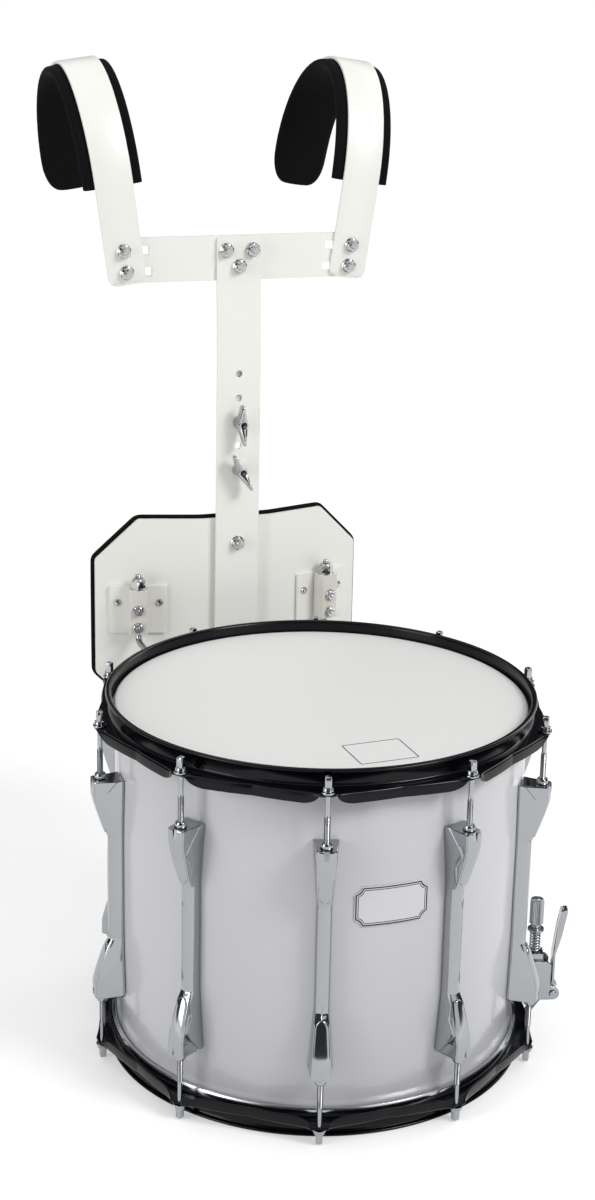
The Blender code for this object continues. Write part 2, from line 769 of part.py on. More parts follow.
def lever_side():
    """Side of the lever about its pivot: barrel, shank and a blade that leans outwards."""
    barrel = LEVER_SHEET * 1.7
    knee = LEVER_KNEE - PIVOT_HEIGHT
    tip = LEVER_TIP_HEIGHT - PIVOT_HEIGHT
    reach = LEVER_TIP_REACH - PIVOT_REACH
    half = LEVER_SHEET / 2.0
    outline = arc(0, 0, barrel, 115, 425, 10)
    outline += [(half, knee), (reach + half, tip), (reach - half, tip), (-half, knee)]
    return outline


def make_lever(strainer):
    """Throw-off lever: a strip with a rounded tip, windowed over the clamp screw."""
    group = group_point("strainer_lever_axis", strainer, (0, -PIVOT_REACH, PIVOT_HEIGHT))
    hole = circle(0, 0, PIVOT_RADIUS + HOLE_GAP)
    mesh = placed(outlined([lever_side(), hole], LEVER_WIDTH), OUTWARDS)
    lever = piece("strainer_lever", mesh, "chrome", group)
    half = LEVER_WIDTH / 2.0 + 1 * MM
    tip = LEVER_TIP_HEIGHT - PIVOT_HEIGHT
    waist = LEVER_KNEE - PIVOT_HEIGHT
    front = [(-half, -8 * MM), (half, -8 * MM), (half, waist)]
    front += arc(0, tip - 4.5 * MM, 4.5 * MM, 0, 180, 6)
    front += [(-half, waist)]
    sill = 9 * MM
    lintel = CLAMP_SCREW_HEIGHT + 8 * MM - PIVOT_HEIGHT
    window = rounded_rectangle(-LEVER_WINDOW / 2, sill, LEVER_WINDOW / 2, lintel, 3 * MM, 2)
    shape = placed(outlined([front, window], 60 * MM), FACING)
    combined(lever, shape, "INTERSECT")
    return group


def make_carriage(strainer):
    """Sliding block between the cheeks, bored for the tension screw, with its strap clamp."""
    half = CARRIAGE_WIDTH / 2.0
    mesh = outlined([
        rounded_rectangle(-half, -CARRIAGE_OUTER, half, -CARRIAGE_INNER, 1.5 * MM, 2),
        circle(0, -KNOB_CIRCLE, SCREW_RADIUS + HOLE_GAP),
    ], CARRIAGE_HIGH - CARRIAGE_LOW)
    mesh = placed(mesh, moved(0, 0, (CARRIAGE_HIGH + CARRIAGE_LOW) / 2))
    carriage = piece("strainer_carriage", mesh, "chrome", strainer)
    inner = STRAP_REACH + STRAP_SHEET / 2.0 + GAP
    plate = box((-half, -inner - CLAMP_SHEET, CLAMP_LOW), (half, -inner, CLAMP_HIGH))
    outer = inner + CLAMP_SHEET
    neck = SCREW_RADIUS * 0.8
    root = CARRIAGE_OUTER - 2 * MM
    profile = [
        (0, outer + 6 * MM),
        (3.6 * MM, outer + 6 * MM),
        (3.6 * MM, outer - CLAMP_SHEET / 2.0),
        (neck, outer - CLAMP_SHEET / 2.0),
        (neck, root),
        (0, root),
    ]
    screw = placed(turned(profile, 8), spun(90, "X"), moved(0, 0, CLAMP_SCREW_HEIGHT))
    combined(carriage, plate, "UNION")
    combined(carriage, screw, "UNION")


def make_knob(strainer):
    """Fluted knob and its screw, which threads down into the carriage."""
    group = group_point("tension_knob_axis", strainer, (0, -KNOB_CIRCLE, 0))
    steps = 2 * KNOB_FLUTES

    def ring(radius, height, flute=0.0):
        points = round_ring(radius, height, steps)
        for i, point in enumerate(points):
            if i % 2:
                point.x *= 1.0 - flute
                point.y *= 1.0 - flute
        return points

    mesh = lofted([
        ring(SCREW_RADIUS, SCREW_LOW),
        ring(SCREW_RADIUS, COLLAR_LOW),
        ring(KNOB_RADIUS * 0.95, COLLAR_LOW),
        ring(KNOB_RADIUS * 0.95, COLLAR_LOW + 1.6 * MM),
        ring(KNOB_RADIUS * 0.7, COLLAR_LOW + 1.6 * MM),
        ring(KNOB_RADIUS * 0.7, KNOB_LOW),
        ring(KNOB_RADIUS, KNOB_LOW, 0.1),
        ring(KNOB_RADIUS, KNOB_HIGH - 1.2 * MM, 0.1),
        ring(KNOB_RADIUS * 0.8, KNOB_HIGH),
    ])
    piece("tension_knob", mesh, "chrome", group, smooth=25.0)
    return group


def make_spring(strainer):
    """Coil spring round the tension screw, between carriage and collar."""
    low = CARRIAGE_HIGH + GAP + SPRING_WIRE
    high = COLLAR_LOW - GAP - SPRING_WIRE
    per_turn = 9
    count = SPRING_TURNS * per_turn
    route = []
    for i in range(count + 1):
        turn = math.tau * i / per_turn
        route.append((
            SPRING_RADIUS * math.cos(turn),
            SPRING_RADIUS * math.sin(turn),
            low + (high - low) * i / count,
        ))
    piece("tension_spring", tube(route, SPRING_WIRE, 1), "zinc", strainer, (0, -KNOB_CIRCLE, 0))
    least = min(
        (Vector(route[i]) - Vector(route[j])).length
        for i in range(count + 1) for j in range(i + per_turn - 2, count + 1)
    )
    print(f"tension_spring: least gap between turns {(least - 2 * SPRING_WIRE) / MM:.2f} mm")


def strap_outline(top):
    """Side of a snare strap: flat under the head, then up outside the hoop."""
    low = SHELL_LOW - GAP - FILM - GAP - WIRE_THICK - GAP - STRAP_SHEET
    high = low + STRAP_SHEET
    inner = WIRE_LENGTH / 2.0 - END_PLATE
    near = STRAP_REACH - STRAP_SHEET / 2.0
    far = STRAP_REACH + STRAP_SHEET / 2.0
    bend = 4 * MM
    outline = [(inner, high), (inner, low)]
    outline += arc(far - bend, low + bend, bend, -90, 0, 3)
    outline += [(far, top), (near, top)]
    outline += arc(near - bend + STRAP_SHEET, high + bend - STRAP_SHEET, bend - STRAP_SHEET, 0, -90, 3)
    return outline


def make_snares(strainer, butt):
    """Soldered snare wires under the lower head, and the straps that draw them tight."""
    half = WIRE_LENGTH / 2.0
    band = WIRE_BAND / 2.0
    slots = []
    pitch = WIRE_BAND / WIRE_COUNT
    for i in range(WIRE_COUNT - 1):
        middle = -band + pitch * (i + 1)
        wide = pitch / 2.0 - WIRE_THICK / 2.0
        slots.append([
            (middle - wide, END_PLATE - half),
            (middle + wide, END_PLATE - half),
            (middle + wide, half - END_PLATE),
            (middle - wide, half - END_PLATE),
        ])
    frame = [(-band, -half), (band, -half), (band, half), (-band, half)]
    height = SHELL_LOW - GAP - FILM - GAP - WIRE_THICK / 2.0
    piece("snare_wires", outlined([frame] + slots, WIRE_THICK), "zinc", strainer, (0, 0, height))
    strap = outlined([strap_outline(STRAP_TOP)], STRAP_WIDTH)
    piece("snare_strap_strainer", placed(strap, OUTWARDS), "strap", strainer)
    piece("snare_strap_butt", placed(strap, OUTWARDS), "strap", butt)


def make_butt(butt):
    """Plain block opposite the strainer that clamps the fixed end of the snares."""
    back = SHELL_RADIUS + GAP
    inner = STRAP_REACH - STRAP_SHEET / 2.0 - GAP
    profile = [(back, BASE_LOW), (inner, BASE_LOW + 4 * MM), (inner, BUTT_HIGH - 5 * MM), (back, BUTT_HIGH)]
    half = BUTT_WIDTH / 2.0
    block = piece("butt_block", placed(outlined([profile], BUTT_WIDTH), OUTWARDS), "chrome", butt)
    seat = STRAP_REACH + STRAP_SHEET / 2.0 + GAP
    low = BASE_LOW + 6 * MM
    plate = rounded_rectangle(-half, low, half, BUTT_HIGH - 3 * MM, 2 * MM, 2)
    clamp = placed(outlined([plate], CLAMP_SHEET), FACING, moved(0, -seat - CLAMP_SHEET / 2.0, 0))
    combined(block, clamp, "UNION")
    outer = seat + CLAMP_SHEET
    profile = [
        (0, outer + 2.6 * MM),
        (4.0 * MM, outer + 2.6 * MM),
        (4.0 * MM, outer - CLAMP_SHEET / 2.0),
        (SCREW_RADIUS, outer - CLAMP_SHEET / 2.0),
        (SCREW_RADIUS, inner - 2 * MM),
        (0, inner - 2 * MM),
    ]
    height = (STRAP_TOP + BUTT_HIGH - 5 * MM) / 2.0 + 0.5 * MM
    screw = placed(turned(profile, 8), spun(90, "X"))
    screws = [placed(screw, moved(x, 0, height)) for x in (-BUTT_SCREW_X, BUTT_SCREW_X)]
    combined(block, gathered(screws), "UNION")


def bent(mesh, lines, shift):
    """Fold a plate: cut it along its fold lines, then move each point by a rule."""
    work = bmesh.new()
    work.from_mesh(mesh)
    for point, normal in lines:
        everything = work.verts[:] + work.edges[:] + work.faces[:]
        bmesh.ops.bisect_plane(work, geom=everything, dist=1e-6, plane_co=point, plane_no=normal)
    for vertex in work.verts:
        vertex.co.y += shift(vertex.co)
    work.to_mesh(mesh)
    work.free()
    return mesh


def plate_at(outlines, front, thickness=PLATE):
    """A flat plate facing the front, with its front face at a given Y."""
    return placed(outlined(outlines, thickness), FACING, moved(0, front + thickness / 2.0, 0))


def jogged(mesh, start, height):
    """Set the upper part of a bar back by a small joggle."""
    lines = [((0, 0, start), (0, 0, 1)), ((0, 0, start + height), (0, 0, 1))]
    return bent(mesh, lines, lambda p: JOG_SLOPE * min(max(p.z - start, 0.0), height))


def winged(mesh):
    """Fold both wings of a plate back towards the wearer."""
    lines = [((x, 0, 0), (1, 0, 0)) for x in (-WING_START, WING_START)]
    return bent(mesh, lines, lambda p: WING_SLOPE * max(abs(p.x) - WING_START, 0.0))


def slot(x, low, high, radius):
    return arc(x, high, radius, 0, 180, 4) + arc(x, low, radius, 180, 360, 4)


def bolt_mesh(length):
    """Round-headed bolt pointing to the front, head at the rear."""
    profile = [
        (0, length),
        (STUD_RADIUS, length),
        (STUD_RADIUS, 0),
        (STUD_HEAD_RADIUS, 0),
        (STUD_HEAD_RADIUS * 0.8, -STUD_HEAD),
        (0, -STUD_HEAD),
    ]
    return placed(turned(profile, 8), spun(90, "X"))


def nutted_bolt(length, nut_start):
    """Bolt with its hexagon nut run on, pointing to the front."""
    corner = NUT_ACROSS / math.sqrt(3.0)
    return placed(lofted([
        round_ring(STUD_HEAD_RADIUS, -STUD_HEAD, 6),
        round_ring(STUD_HEAD_RADIUS, 0, 6),
        round_ring(STUD_RADIUS, 0, 6),
        round_ring(STUD_RADIUS, nut_start, 6),
        round_ring(corner, nut_start, 6),
        round_ring(corner, nut_start + NUT_THICK, 6),
        round_ring(STUD_RADIUS, nut_start + NUT_THICK, 6),
        round_ring(STUD_RADIUS, length, 6),
    ]), spun(90, "X"))


def make_spine(t_bar):
    """Front bar with its spare height holes and the studs fixed in it."""
    half = SPINE_WIDTH / 2.0
    outline = rounded_rectangle(-half, SPINE_LOW, half, BAR_HIGH - 1 * MM, 2 * MM, 1)
    mesh = jogged(plate_at([outline], SPINE_FRONT), JOG_START, JOG_HEIGHT)
    spine = piece("spine", mesh, "powder_coat", t_bar)
    hole = placed(rod_mesh(STUD_RADIUS + HOLE_GAP, -20 * MM, 20 * MM), spun(90, "X"))
    places = [(0, UPPER_STUD + HOLE_PITCH * i) for i in (-1, 1, 2)] + bar_bolts()
    combined(spine, gathered([placed(hole, moved(x, SPINE_FRONT, z)) for x, z in places]))
    stack = 2.0 * PLATE + 2.0 * GAP
    rear = UPRIGHT_FRONT + PLATE + GAP
    stud = bolt_mesh(stack + WING_HUB_LENGTH + 2 * MM)
    studs = [placed(stud, moved(0, rear, z)) for z in (UPPER_STUD, LOWER_STUD)]
    foot = nutted_bolt(stack + NUT_THICK + BOLT_PROUD, stack - 0.5 * MM)
    studs.append(placed(foot, moved(0, rear, BELLY_STUD)))
    combined(spine, gathered(studs), "UNION")


def bar_bolts():
    return [(-BAR_BOLT_X, BAR_BOLT_HIGH), (BAR_BOLT_X, BAR_BOLT_HIGH), (0.0, BAR_BOLT_LOW)]


def hook_bolts():
    """Front positions of the hook bolts, which lie on the hooks' leaning centre lines."""
    places = []
    for side in (-1, 1):
        for along in HOOK_BOLTS:
            lean = math.radians(HOOK_LEAN)
            x = side * (HOOK_FOOT_X + along * math.sin(lean))
            places.append((x, HOOK_FOOT_Z + along * math.cos(lean)))
    return places


def make_crossbar(t_bar):
    """Flat bar behind the spine, with spare square holes and its seven bolts."""
    outline = rounded_rectangle(-BAR_REACH, BAR_LOW, BAR_REACH, BAR_HIGH, 3 * MM, 2)
    bar = piece("crossbar", plate_at([outline], CROSSBAR_FRONT), "powder_coat", t_bar)
    half = SQUARE_HOLE / 2.0
    hole = box((-half, -PLATE, -half), (half, 2 * PLATE, half))
    holes = []
    for x, z in hook_bolts():
        inner = x - math.copysign(SQUARE_HOLE_INSET, x)
        holes.append(placed(hole, moved(inner, CROSSBAR_FRONT, z)))
    combined(bar, gathered(holes))
    front = CROSSBAR_FRONT - GAP - PLATE - GAP
    rear = CROSSBAR_FRONT + PLATE - 0.5 * MM
    bolt = nutted_bolt(rear - front + NUT_THICK + BOLT_PROUD, rear - front)
    bolts = [placed(bolt, moved(x, rear, z)) for x, z in bar_bolts() + hook_bolts()]
    combined(bar, gathered(bolts), "UNION")


def hook_frame(along):
    """Point and outward direction on the hook's strap, in its own Y and height."""
    front = HOOK_RISE
    rear = HOOK_RISE - HOOK_TAIL
    if along <= 1.0:
        return Vector((0.0, front * along)), Vector((-1.0, 0.0))
    if along <= 3.0:
        turn = math.pi - (along - 1.0) * math.pi / 2.0
        span = HOOK_FRONT_SPAN if along <= 2.0 else HOOK_REAR_SPAN
        point = Vector((HOOK_FRONT_SPAN + span * math.cos(turn), front + HOOK_ARCH * math.sin(turn)))
        out = Vector((math.cos(turn) / span, math.sin(turn) / HOOK_ARCH)).normalized()
        return point, out
    share = along - 3.0
    end = HOOK_FRONT_SPAN + HOOK_REAR_SPAN
    return Vector((end, mixed(front, rear, share))), Vector((1.0, 0.0))


def arch_steps():
    """Stations over the shoulder, shared by the strap and its pad, and down the tail."""
    arch = [1.0 + i / HOOK_FACETS for i in range(2 * HOOK_FACETS + 1)]
    return arch + [3.5, 4.0]


def hook_mesh():
    """Bent strap: narrowed at its foot and its tail, wide over the shoulder."""
    steps = [0.0, HOOK_CORNER * 0.3 / HOOK_RISE, HOOK_CORNER / HOOK_RISE] + arch_steps()
    sections = []
    for along in steps:
        point, out = hook_frame(along)
        corner = max(HOOK_CORNER - along * HOOK_RISE, 0.0) if along < 1.0 else 0.0
        trim = HOOK_CORNER - math.sqrt(HOOK_CORNER ** 2 - corner ** 2)
        half = HOOK_WIDTH / 2.0 - trim
        outer = point + out * HOOK_SHEET / 2.0
        inner = point - out * HOOK_SHEET / 2.0
        sections.append([
            Vector((-half, outer.x, outer.y)),
            Vector((half, outer.x, outer.y)),
            Vector((half, inner.x, inner.y)),
            Vector((-half, inner.x, inner.y)),
        ])
    return lofted(sections)


def pad_mesh():
    """Foam pad under the strap: square in front, crowned over the shoulder, rounded behind."""
    first = SHOULDER_PAD_START / HOOK_RISE
    steps = [(first, 1.0, 0.85)]
    steps += [(along, 1.0, 1.0) for along in arch_steps()[:-2]]
    steps += [(3.5, 0.97, 1.0), (4.0, 0.88, 0.95), (4.0, 0.5, 0.75)]
    sections = []
    for number, (along, wide, full) in enumerate(steps, start=1):
        point, out = hook_frame(along)
        if number == len(steps):
            point = Vector((point.x, HOOK_RISE - SHOULDER_PAD_DROP))
        half = SHOULDER_PAD_WIDTH / 2.0 * wide
        thick = SHOULDER_PAD_THICK * full
        top = point - out * (HOOK_SHEET / 2.0 + GAP)
        right = [(0.0, 1.0), (0.6, 0.96), (0.97, 0.72), (1.0, 0.3), (0.94, 0.0)]
        left = [(-x, depth) for x, depth in reversed(right[1:])]
        ring = []
        for x, depth in right + left:
            spot = top - out * depth * thick
            ring.append(Vector((x * half, spot.x, spot.y)))
        sections.append(ring)
    return lofted(sections)


def make_hooks(t_bar):
    """Two shoulder hooks in front of the crossbar, each with its pad."""
    strap = hook_mesh()
    pad = pad_mesh()
    front = CROSSBAR_FRONT - GAP - HOOK_SHEET / 2.0
    for side, name in ((-1, "left"), (1, "right")):
        place = (side * HOOK_FOOT_X, front, HOOK_FOOT_Z)
        turn = (0, math.radians(side * HOOK_LEAN), 0)
        hook = piece(f"shoulder_hook_{name}", strap.copy(), "powder_coat", t_bar, place, turn)
        hole = placed(rod_mesh(STUD_RADIUS + HOLE_GAP, -HOOK_SHEET * 2, HOOK_SHEET * 2), spun(90, "X"))
        combined(hook, gathered([placed(hole, moved(0, 0, along)) for along in HOOK_BOLTS]))
        piece(f"shoulder_pad_{name}", pad.copy(), "black_foam", t_bar, place, turn, smooth=60.0)


def wing_nut_mesh():
    """Hub with two raised wings, standing along +Z; the bore takes the stud."""
    inner = STUD_RADIUS + GAP
    waist = WING_HUB_RADIUS * 0.75
    hub = turned([
        (waist, WING_HUB_LENGTH),
        (WING_HUB_RADIUS, 0),
        (inner, 0),
        (inner, WING_HUB_LENGTH),
    ], 12, ring=True)
    reach = WING_SPAN / 2.0
    root = inner + 0.8 * MM
    wing = [(root, 1.2 * MM), (WING_HUB_RADIUS + 2 * MM, 2.4 * MM), (reach - 2 * MM, WING_PROUD * 0.55)]
    wing += arc(reach - 3.4 * MM, WING_PROUD - 3.4 * MM, 3.4 * MM, 0, 135, 4)
    wing += [(WING_HUB_RADIUS + 1 * MM, WING_HUB_LENGTH + 1.5 * MM), (root, WING_HUB_LENGTH - 1 * MM)]
    blade = placed(outlined([wing], WING_SHEET), spun(90, "X"))
    return hub, gathered([blade, placed(blade, spun(180))])


def make_wing_nuts(t_bar):
    """Two wing nuts on the height studs, left at the angles that the photograph shows."""
    for name, height, turn in zip(("upper", "lower"), (UPPER_STUD, LOWER_STUD), WING_TURNS):
        group = group_point(f"wing_nut_{name}_axis", t_bar, (0, SPINE_FRONT - GAP, height))
        hub, blades = wing_nut_mesh()
        attitude = spun(90, "X") @ spun(90.0 + turn)
        nut = piece(f"wing_nut_{name}", placed(hub, attitude), "zinc", group)
        combined(nut, placed(blades, attitude), "UNION")


def belly_outline(lap):
    """Front outline of the belly plate, or of its pad with a lap all round."""
    x = BELLY_HALF + lap
    low = BELLY_LOW - lap
    high = BELLY_HIGH + lap
    clip = BELLY_CLIP + lap * 0.6
    right = [(x - clip, low), (x, low + clip), (x, high - clip), (x - clip, high)]
    return right + [(-a, b) for a, b in reversed(right)]


def make_belly_plate(carrier):
    """Plate with folded wings, the slotted upright in front of it and the foam behind."""
    clear = STUD_HEAD_RADIUS + 1 * MM
    notch = [(clear, BELLY_HIGH)]
    notch += arc(0, BELLY_STUD - TRAVEL, clear, 0, -180, 6)
    notch += [(-clear, BELLY_HIGH)]
    outline = belly_outline(0.0)
    outline = outline[:4] + notch + outline[4:]
    piece("belly_plate", winged(plate_at([outline], BELLY_FRONT)), "powder_coat", carrier)
    half = UPRIGHT_WIDTH / 2.0
    outline = rounded_rectangle(-half, UPRIGHT_LOW, half, UPRIGHT_HIGH, 2 * MM, 1)
    slide = slot(0, BELLY_STUD - TRAVEL, UPPER_STUD, STUD_RADIUS + HOLE_GAP)
    bar = plate_at([outline, slide], UPRIGHT_FRONT)
    start = JOG_START - TRAVEL
    piece("rear_upright", jogged(bar, start, UPRIGHT_HIGH - start), "powder_coat", carrier)


def make_belly_pad(carrier):
    """Foam on the wearer's side, crowned and laid past the plate's edge."""
    sections = []
    for lap, depth in ((0.75, 0.0), (1.0, 0.2), (1.0, 0.65), (0.2, 0.92), (-1.6, 1.0)):
        outline = belly_outline(BELLY_PAD_LAP * lap)
        y = PAD_FRONT + BELLY_PAD_THICK * depth
        sections.append([Vector((x, y, z)) for x, z in outline])
    piece("belly_pad", winged(lofted(sections)), "black_foam", carrier, smooth=60.0)


def wing_matrix(side):
    """Frame of a belly plate wing: X along it, -Y out of its front face."""
    y = BELLY_FRONT + WING_SLOPE * (BRACKET_X - WING_START)
    return moved(side * BRACKET_X, y, 0) @ Matrix.Rotation(side * math.atan(WING_SLOPE), 4, "Z")


def make_brackets(carrier):
    """Bracket plates with their clamp blocks and fasteners, which hold the J rods."""
    half = BRACKET_WIDTH / 2.0
    outline = rounded_rectangle(-half, BRACKET_LOW, half, BRACKET_HIGH, 4 * MM, 2)
    plate = plate_at([outline], -GAP - PLATE)
    sunk = 0.5 * MM
    back = GAP + PLATE - sunk
    front = GAP + PLATE + BLOCK_DEPTH
    axis = front - BLOCK_DEPTH / 2.0
    block = placed(
        outlined([rounded_rectangle(-BLOCK_WIDTH / 2, -front, BLOCK_WIDTH / 2, -back, 2 * MM, 2)],
                 BLOCK_HIGH - BLOCK_LOW),
        moved(0, 0, (BLOCK_HIGH + BLOCK_LOW) / 2.0))
    bore = rod_mesh(J_RADIUS + HOLE_GAP, BLOCK_LOW - 5 * MM, BLOCK_HIGH + TOP_NUT_THICK + 5 * MM)
    clamp = placed(lofted([
        round_ring(4.9 * MM, 0, 6),
        round_ring(4.9 * MM, 3.7 * MM, 6),
        round_ring(2.2 * MM, 3.7 * MM, 6),
        round_ring(2.2 * MM, 6.9 * MM, 6),
    ]), spun(90, "X"))
    screw = placed(turned([
        (0, 2.4 * MM), (3.5 * MM, 2.0 * MM), (3.5 * MM, -sunk), (0, -sunk),
    ], 8), spun(90, "X"))
    nut = outlined([circle(0, 0, TOP_NUT_ACROSS / math.sqrt(3.0), 6)], TOP_NUT_THICK)
    details = [placed(clamp, moved(0, sunk - front, z)) for z in CLAMP_HEIGHTS]
    for x in (-BRACKET_SCREW_X, BRACKET_SCREW_X):
        details.append(placed(screw, moved(x, -GAP - PLATE, BRACKET_SCREW_Z)))
    details.append(placed(nut, moved(0, -axis, BLOCK_HIGH + TOP_NUT_THICK / 2.0 - sunk)))
    for side, name in ((-1, "left"), (1, "right")):
        frame = wing_matrix(side)
        bracket = piece(f"bracket_{name}", placed(plate, frame), "powder_coat", carrier)
        combined(bracket, placed(block, frame), "UNION")
        combined(bracket, placed(gathered(details), frame), "UNION")
        combined(bracket, placed(bore, moved(0, -axis, 0), frame))
        make_j_rod(carrier, name, frame @ Vector((0, -axis, 0)))


def make_j_rod(carrier, name, axis):
    """Threaded rod with its J: down, forward under the hoop's skirt, and up behind it."""
    group = group_point(f"j_rod_{name}_axis", carrier, (axis.x, axis.y, 0))
    angle = math.degrees(math.acos(abs(axis.x) / ROD_CIRCLE))
    spacing = 360.0 / ROD_COUNT
    from_ear = abs((90.0 + angle - FIRST_ROD + spacing / 2.0) % spacing - spacing / 2.0)
    reach, depth = skirt_at(from_ear + math.degrees(J_RADIUS / ROD_CIRCLE))
    flat = math.cos(math.radians(3.0))
    middle = (FLESH_OUTER + (reach - HOOP_SHEET - RIM_ROUND) * flat) / 2.0
    tip = math.sqrt(middle ** 2 - axis.x ** 2) - axis.y
    top = FLANGE_LOW - GAP
    route = [(0, 0, BLOCK_HIGH + J_STUB), (0, 0, J_ARM + J_BEND + 2 * MM)]
    route += [(0, y, z) for y, z in arc(-J_BEND, J_ARM + J_BEND, J_BEND, 0, -90, 4)]
    route += [(0, y, z) for y, z in arc(tip + J_BEND, J_ARM + J_BEND, J_BEND, -90, -180, 4)]
    route.append((0, tip, top))
    piece(f"j_rod_{name}", tube(route, J_RADIUS), "zinc", group)


def centre_on_floor(drum):
    """Move the drum so that the origin is under the middle of its bounding box."""
    bpy.context.view_layer.update()
    graph = bpy.context.evaluated_depsgraph_get()
    low = Vector((1e9, 1e9, 1e9))
    high = -low
    for item in parts.objects:
        if item.type != "MESH":
            continue
        for vertex in item.evaluated_get(graph).to_mesh().vertices:
            point = item.matrix_world @ vertex.co
            low = Vector(map(min, low, point))
            high = Vector(map(max, high, point))
    drum.location = (-(low.x + high.x) / 2.0, -(low.y + high.y) / 2.0, -low.z)
    bpy.context.view_layer.update()
    print("size", [round(value, 4) for value in high - low])
    for item in parts.objects:
        if item.type == "EMPTY":
            print(item.name, [round(value, 5) for value in item.matrix_world.translation])


def build():
    start_scene()
    make_finishes()
    drum = group_point("drum_axis", None)
    strainer = group_point("strainer_side", drum, turn=(0, 0, math.radians(STRAINER_ANGLE)))
    butt = group_point("butt_side", drum, turn=(0, 0, math.radians(STRAINER_ANGLE + 180.0)))
    carrier = group_point("carrier_group", drum)
    t_bar = group_point("t_bar_group", carrier)
    make_shell(drum)
    make_heads(drum)
    make_hoops(drum)
    make_tension_rods(drum)
    make_lugs(drum)
    make_badge(drum)
    make_strainer_base(strainer)
    make_lever(strainer)
    make_carriage(strainer)
    make_knob(strainer)
    make_spring(strainer)
    make_snares(strainer, butt)
    make_butt(butt)
    make_belly_plate(carrier)
    make_belly_pad(carrier)
    make_brackets(carrier)
    make_spine(t_bar)
    make_crossbar(t_bar)
    make_hooks(t_bar)
    make_wing_nuts(t_bar)
    centre_on_floor(drum)


build()
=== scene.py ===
"""White marching side drum hooked on its shoulder carrier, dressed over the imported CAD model."""

import json
import math

import bmesh
import bpy
from mathutils import Matrix, Vector

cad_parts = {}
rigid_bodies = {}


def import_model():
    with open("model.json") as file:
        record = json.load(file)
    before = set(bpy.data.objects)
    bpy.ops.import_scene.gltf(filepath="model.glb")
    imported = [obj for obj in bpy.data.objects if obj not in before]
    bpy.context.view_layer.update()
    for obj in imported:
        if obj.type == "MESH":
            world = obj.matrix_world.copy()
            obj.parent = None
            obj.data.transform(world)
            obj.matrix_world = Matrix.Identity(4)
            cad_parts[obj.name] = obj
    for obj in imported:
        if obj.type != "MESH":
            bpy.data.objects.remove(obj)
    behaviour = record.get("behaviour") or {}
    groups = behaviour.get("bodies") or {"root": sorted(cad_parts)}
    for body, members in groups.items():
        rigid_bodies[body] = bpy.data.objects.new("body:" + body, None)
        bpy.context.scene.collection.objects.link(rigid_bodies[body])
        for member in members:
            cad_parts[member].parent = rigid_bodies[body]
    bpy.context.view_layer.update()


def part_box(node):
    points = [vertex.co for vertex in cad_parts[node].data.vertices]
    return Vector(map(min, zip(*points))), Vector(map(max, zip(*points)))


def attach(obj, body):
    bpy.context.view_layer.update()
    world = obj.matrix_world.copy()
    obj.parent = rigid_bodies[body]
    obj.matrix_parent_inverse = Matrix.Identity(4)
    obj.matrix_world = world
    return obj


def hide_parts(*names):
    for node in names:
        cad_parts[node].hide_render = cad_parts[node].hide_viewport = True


for startup in list(bpy.data.objects):
    bpy.data.objects.remove(startup, do_unlink=True)
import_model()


# Shell. Plies of hardwood bent into a tube and glued, 353 mm across, under a thick white covering
# with a high gloss. Both rims are cut to a bearing edge that the heads bend over.
MM = 0.001
SHELL_R = 176.5
SHELL_LOW = 10.0
SHELL_HIGH = 315.0
SHELL_WALL = 7.0
shell_low, shell_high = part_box("shell")
AXIS = Matrix.Translation(((shell_low.x + shell_high.x) / 2, (shell_low.y + shell_high.y) / 2, 0))


def linear(code):
    """sRGB hex to the linear values that Blender's shaders take."""
    values = [int(code[i:i + 2], 16) / 255 for i in (1, 3, 5)]
    return tuple(v / 12.92 if v <= 0.04045 else ((v + 0.055) / 1.055) ** 2.4 for v in values) + (1.0,)


def node(tree, kind, settings=None, **links):
    """Add a node: settings are its properties, links its inputs as values, outputs or nodes."""
    made = tree.nodes.new(kind)
    for name, value in (settings or {}).items():
        setattr(made, name, value)
    for name, value in links.items():
        numbered = name[0] == "i" and name[1:].isdigit()
        slot = made.inputs[int(name[1:])] if numbered else made.inputs[name.replace("_", " ")]
        if isinstance(value, bpy.types.Node):
            value = value.outputs[0]
        if isinstance(value, bpy.types.NodeSocket):
            tree.links.new(value, slot)
        else:
            slot.default_value = value
    return made


def surface(name, colour, roughness, metallic=0.0, grain=None, **more):
    """A new material. Its grain is the pitch and height of fine waves, in mm, and their detail."""
    material = bpy.data.materials.new(name)
    material.use_nodes = True
    tree = material.node_tree
    shader = tree.nodes["Principled BSDF"]
    shader.inputs["Base Color"].default_value = linear(colour)
    shader.inputs["Roughness"].default_value = roughness
    shader.inputs["Metallic"].default_value = metallic
    for key, value in more.items():
        shader.inputs[key.replace("_", " ")].default_value = value
    if grain:
        pitch, height, detail = grain
        place = node(tree, "ShaderNodeTexCoord").outputs["Object"]
        waves = node(tree, "ShaderNodeTexNoise", Vector=place, Scale=1 / (pitch * MM), Detail=detail)
        bump = node(tree, "ShaderNodeBump", Strength=1.0, Distance=height * MM, Height=waves)
        tree.links.new(bump.outputs[0], shader.inputs["Normal"])
    return material


def outward(work):
    """Turn the faces of a closed shape outwards."""
    bmesh.ops.recalc_face_normals(work, faces=work.faces)
    if work.calc_volume(signed=True) < 0:
        bmesh.ops.reverse_faces(work, faces=work.faces)


def kept(work, name):
    """The mesh of an editing copy, which is then let go."""
    mesh = bpy.data.meshes.new(name)
    work.to_mesh(mesh)
    work.free()
    return mesh


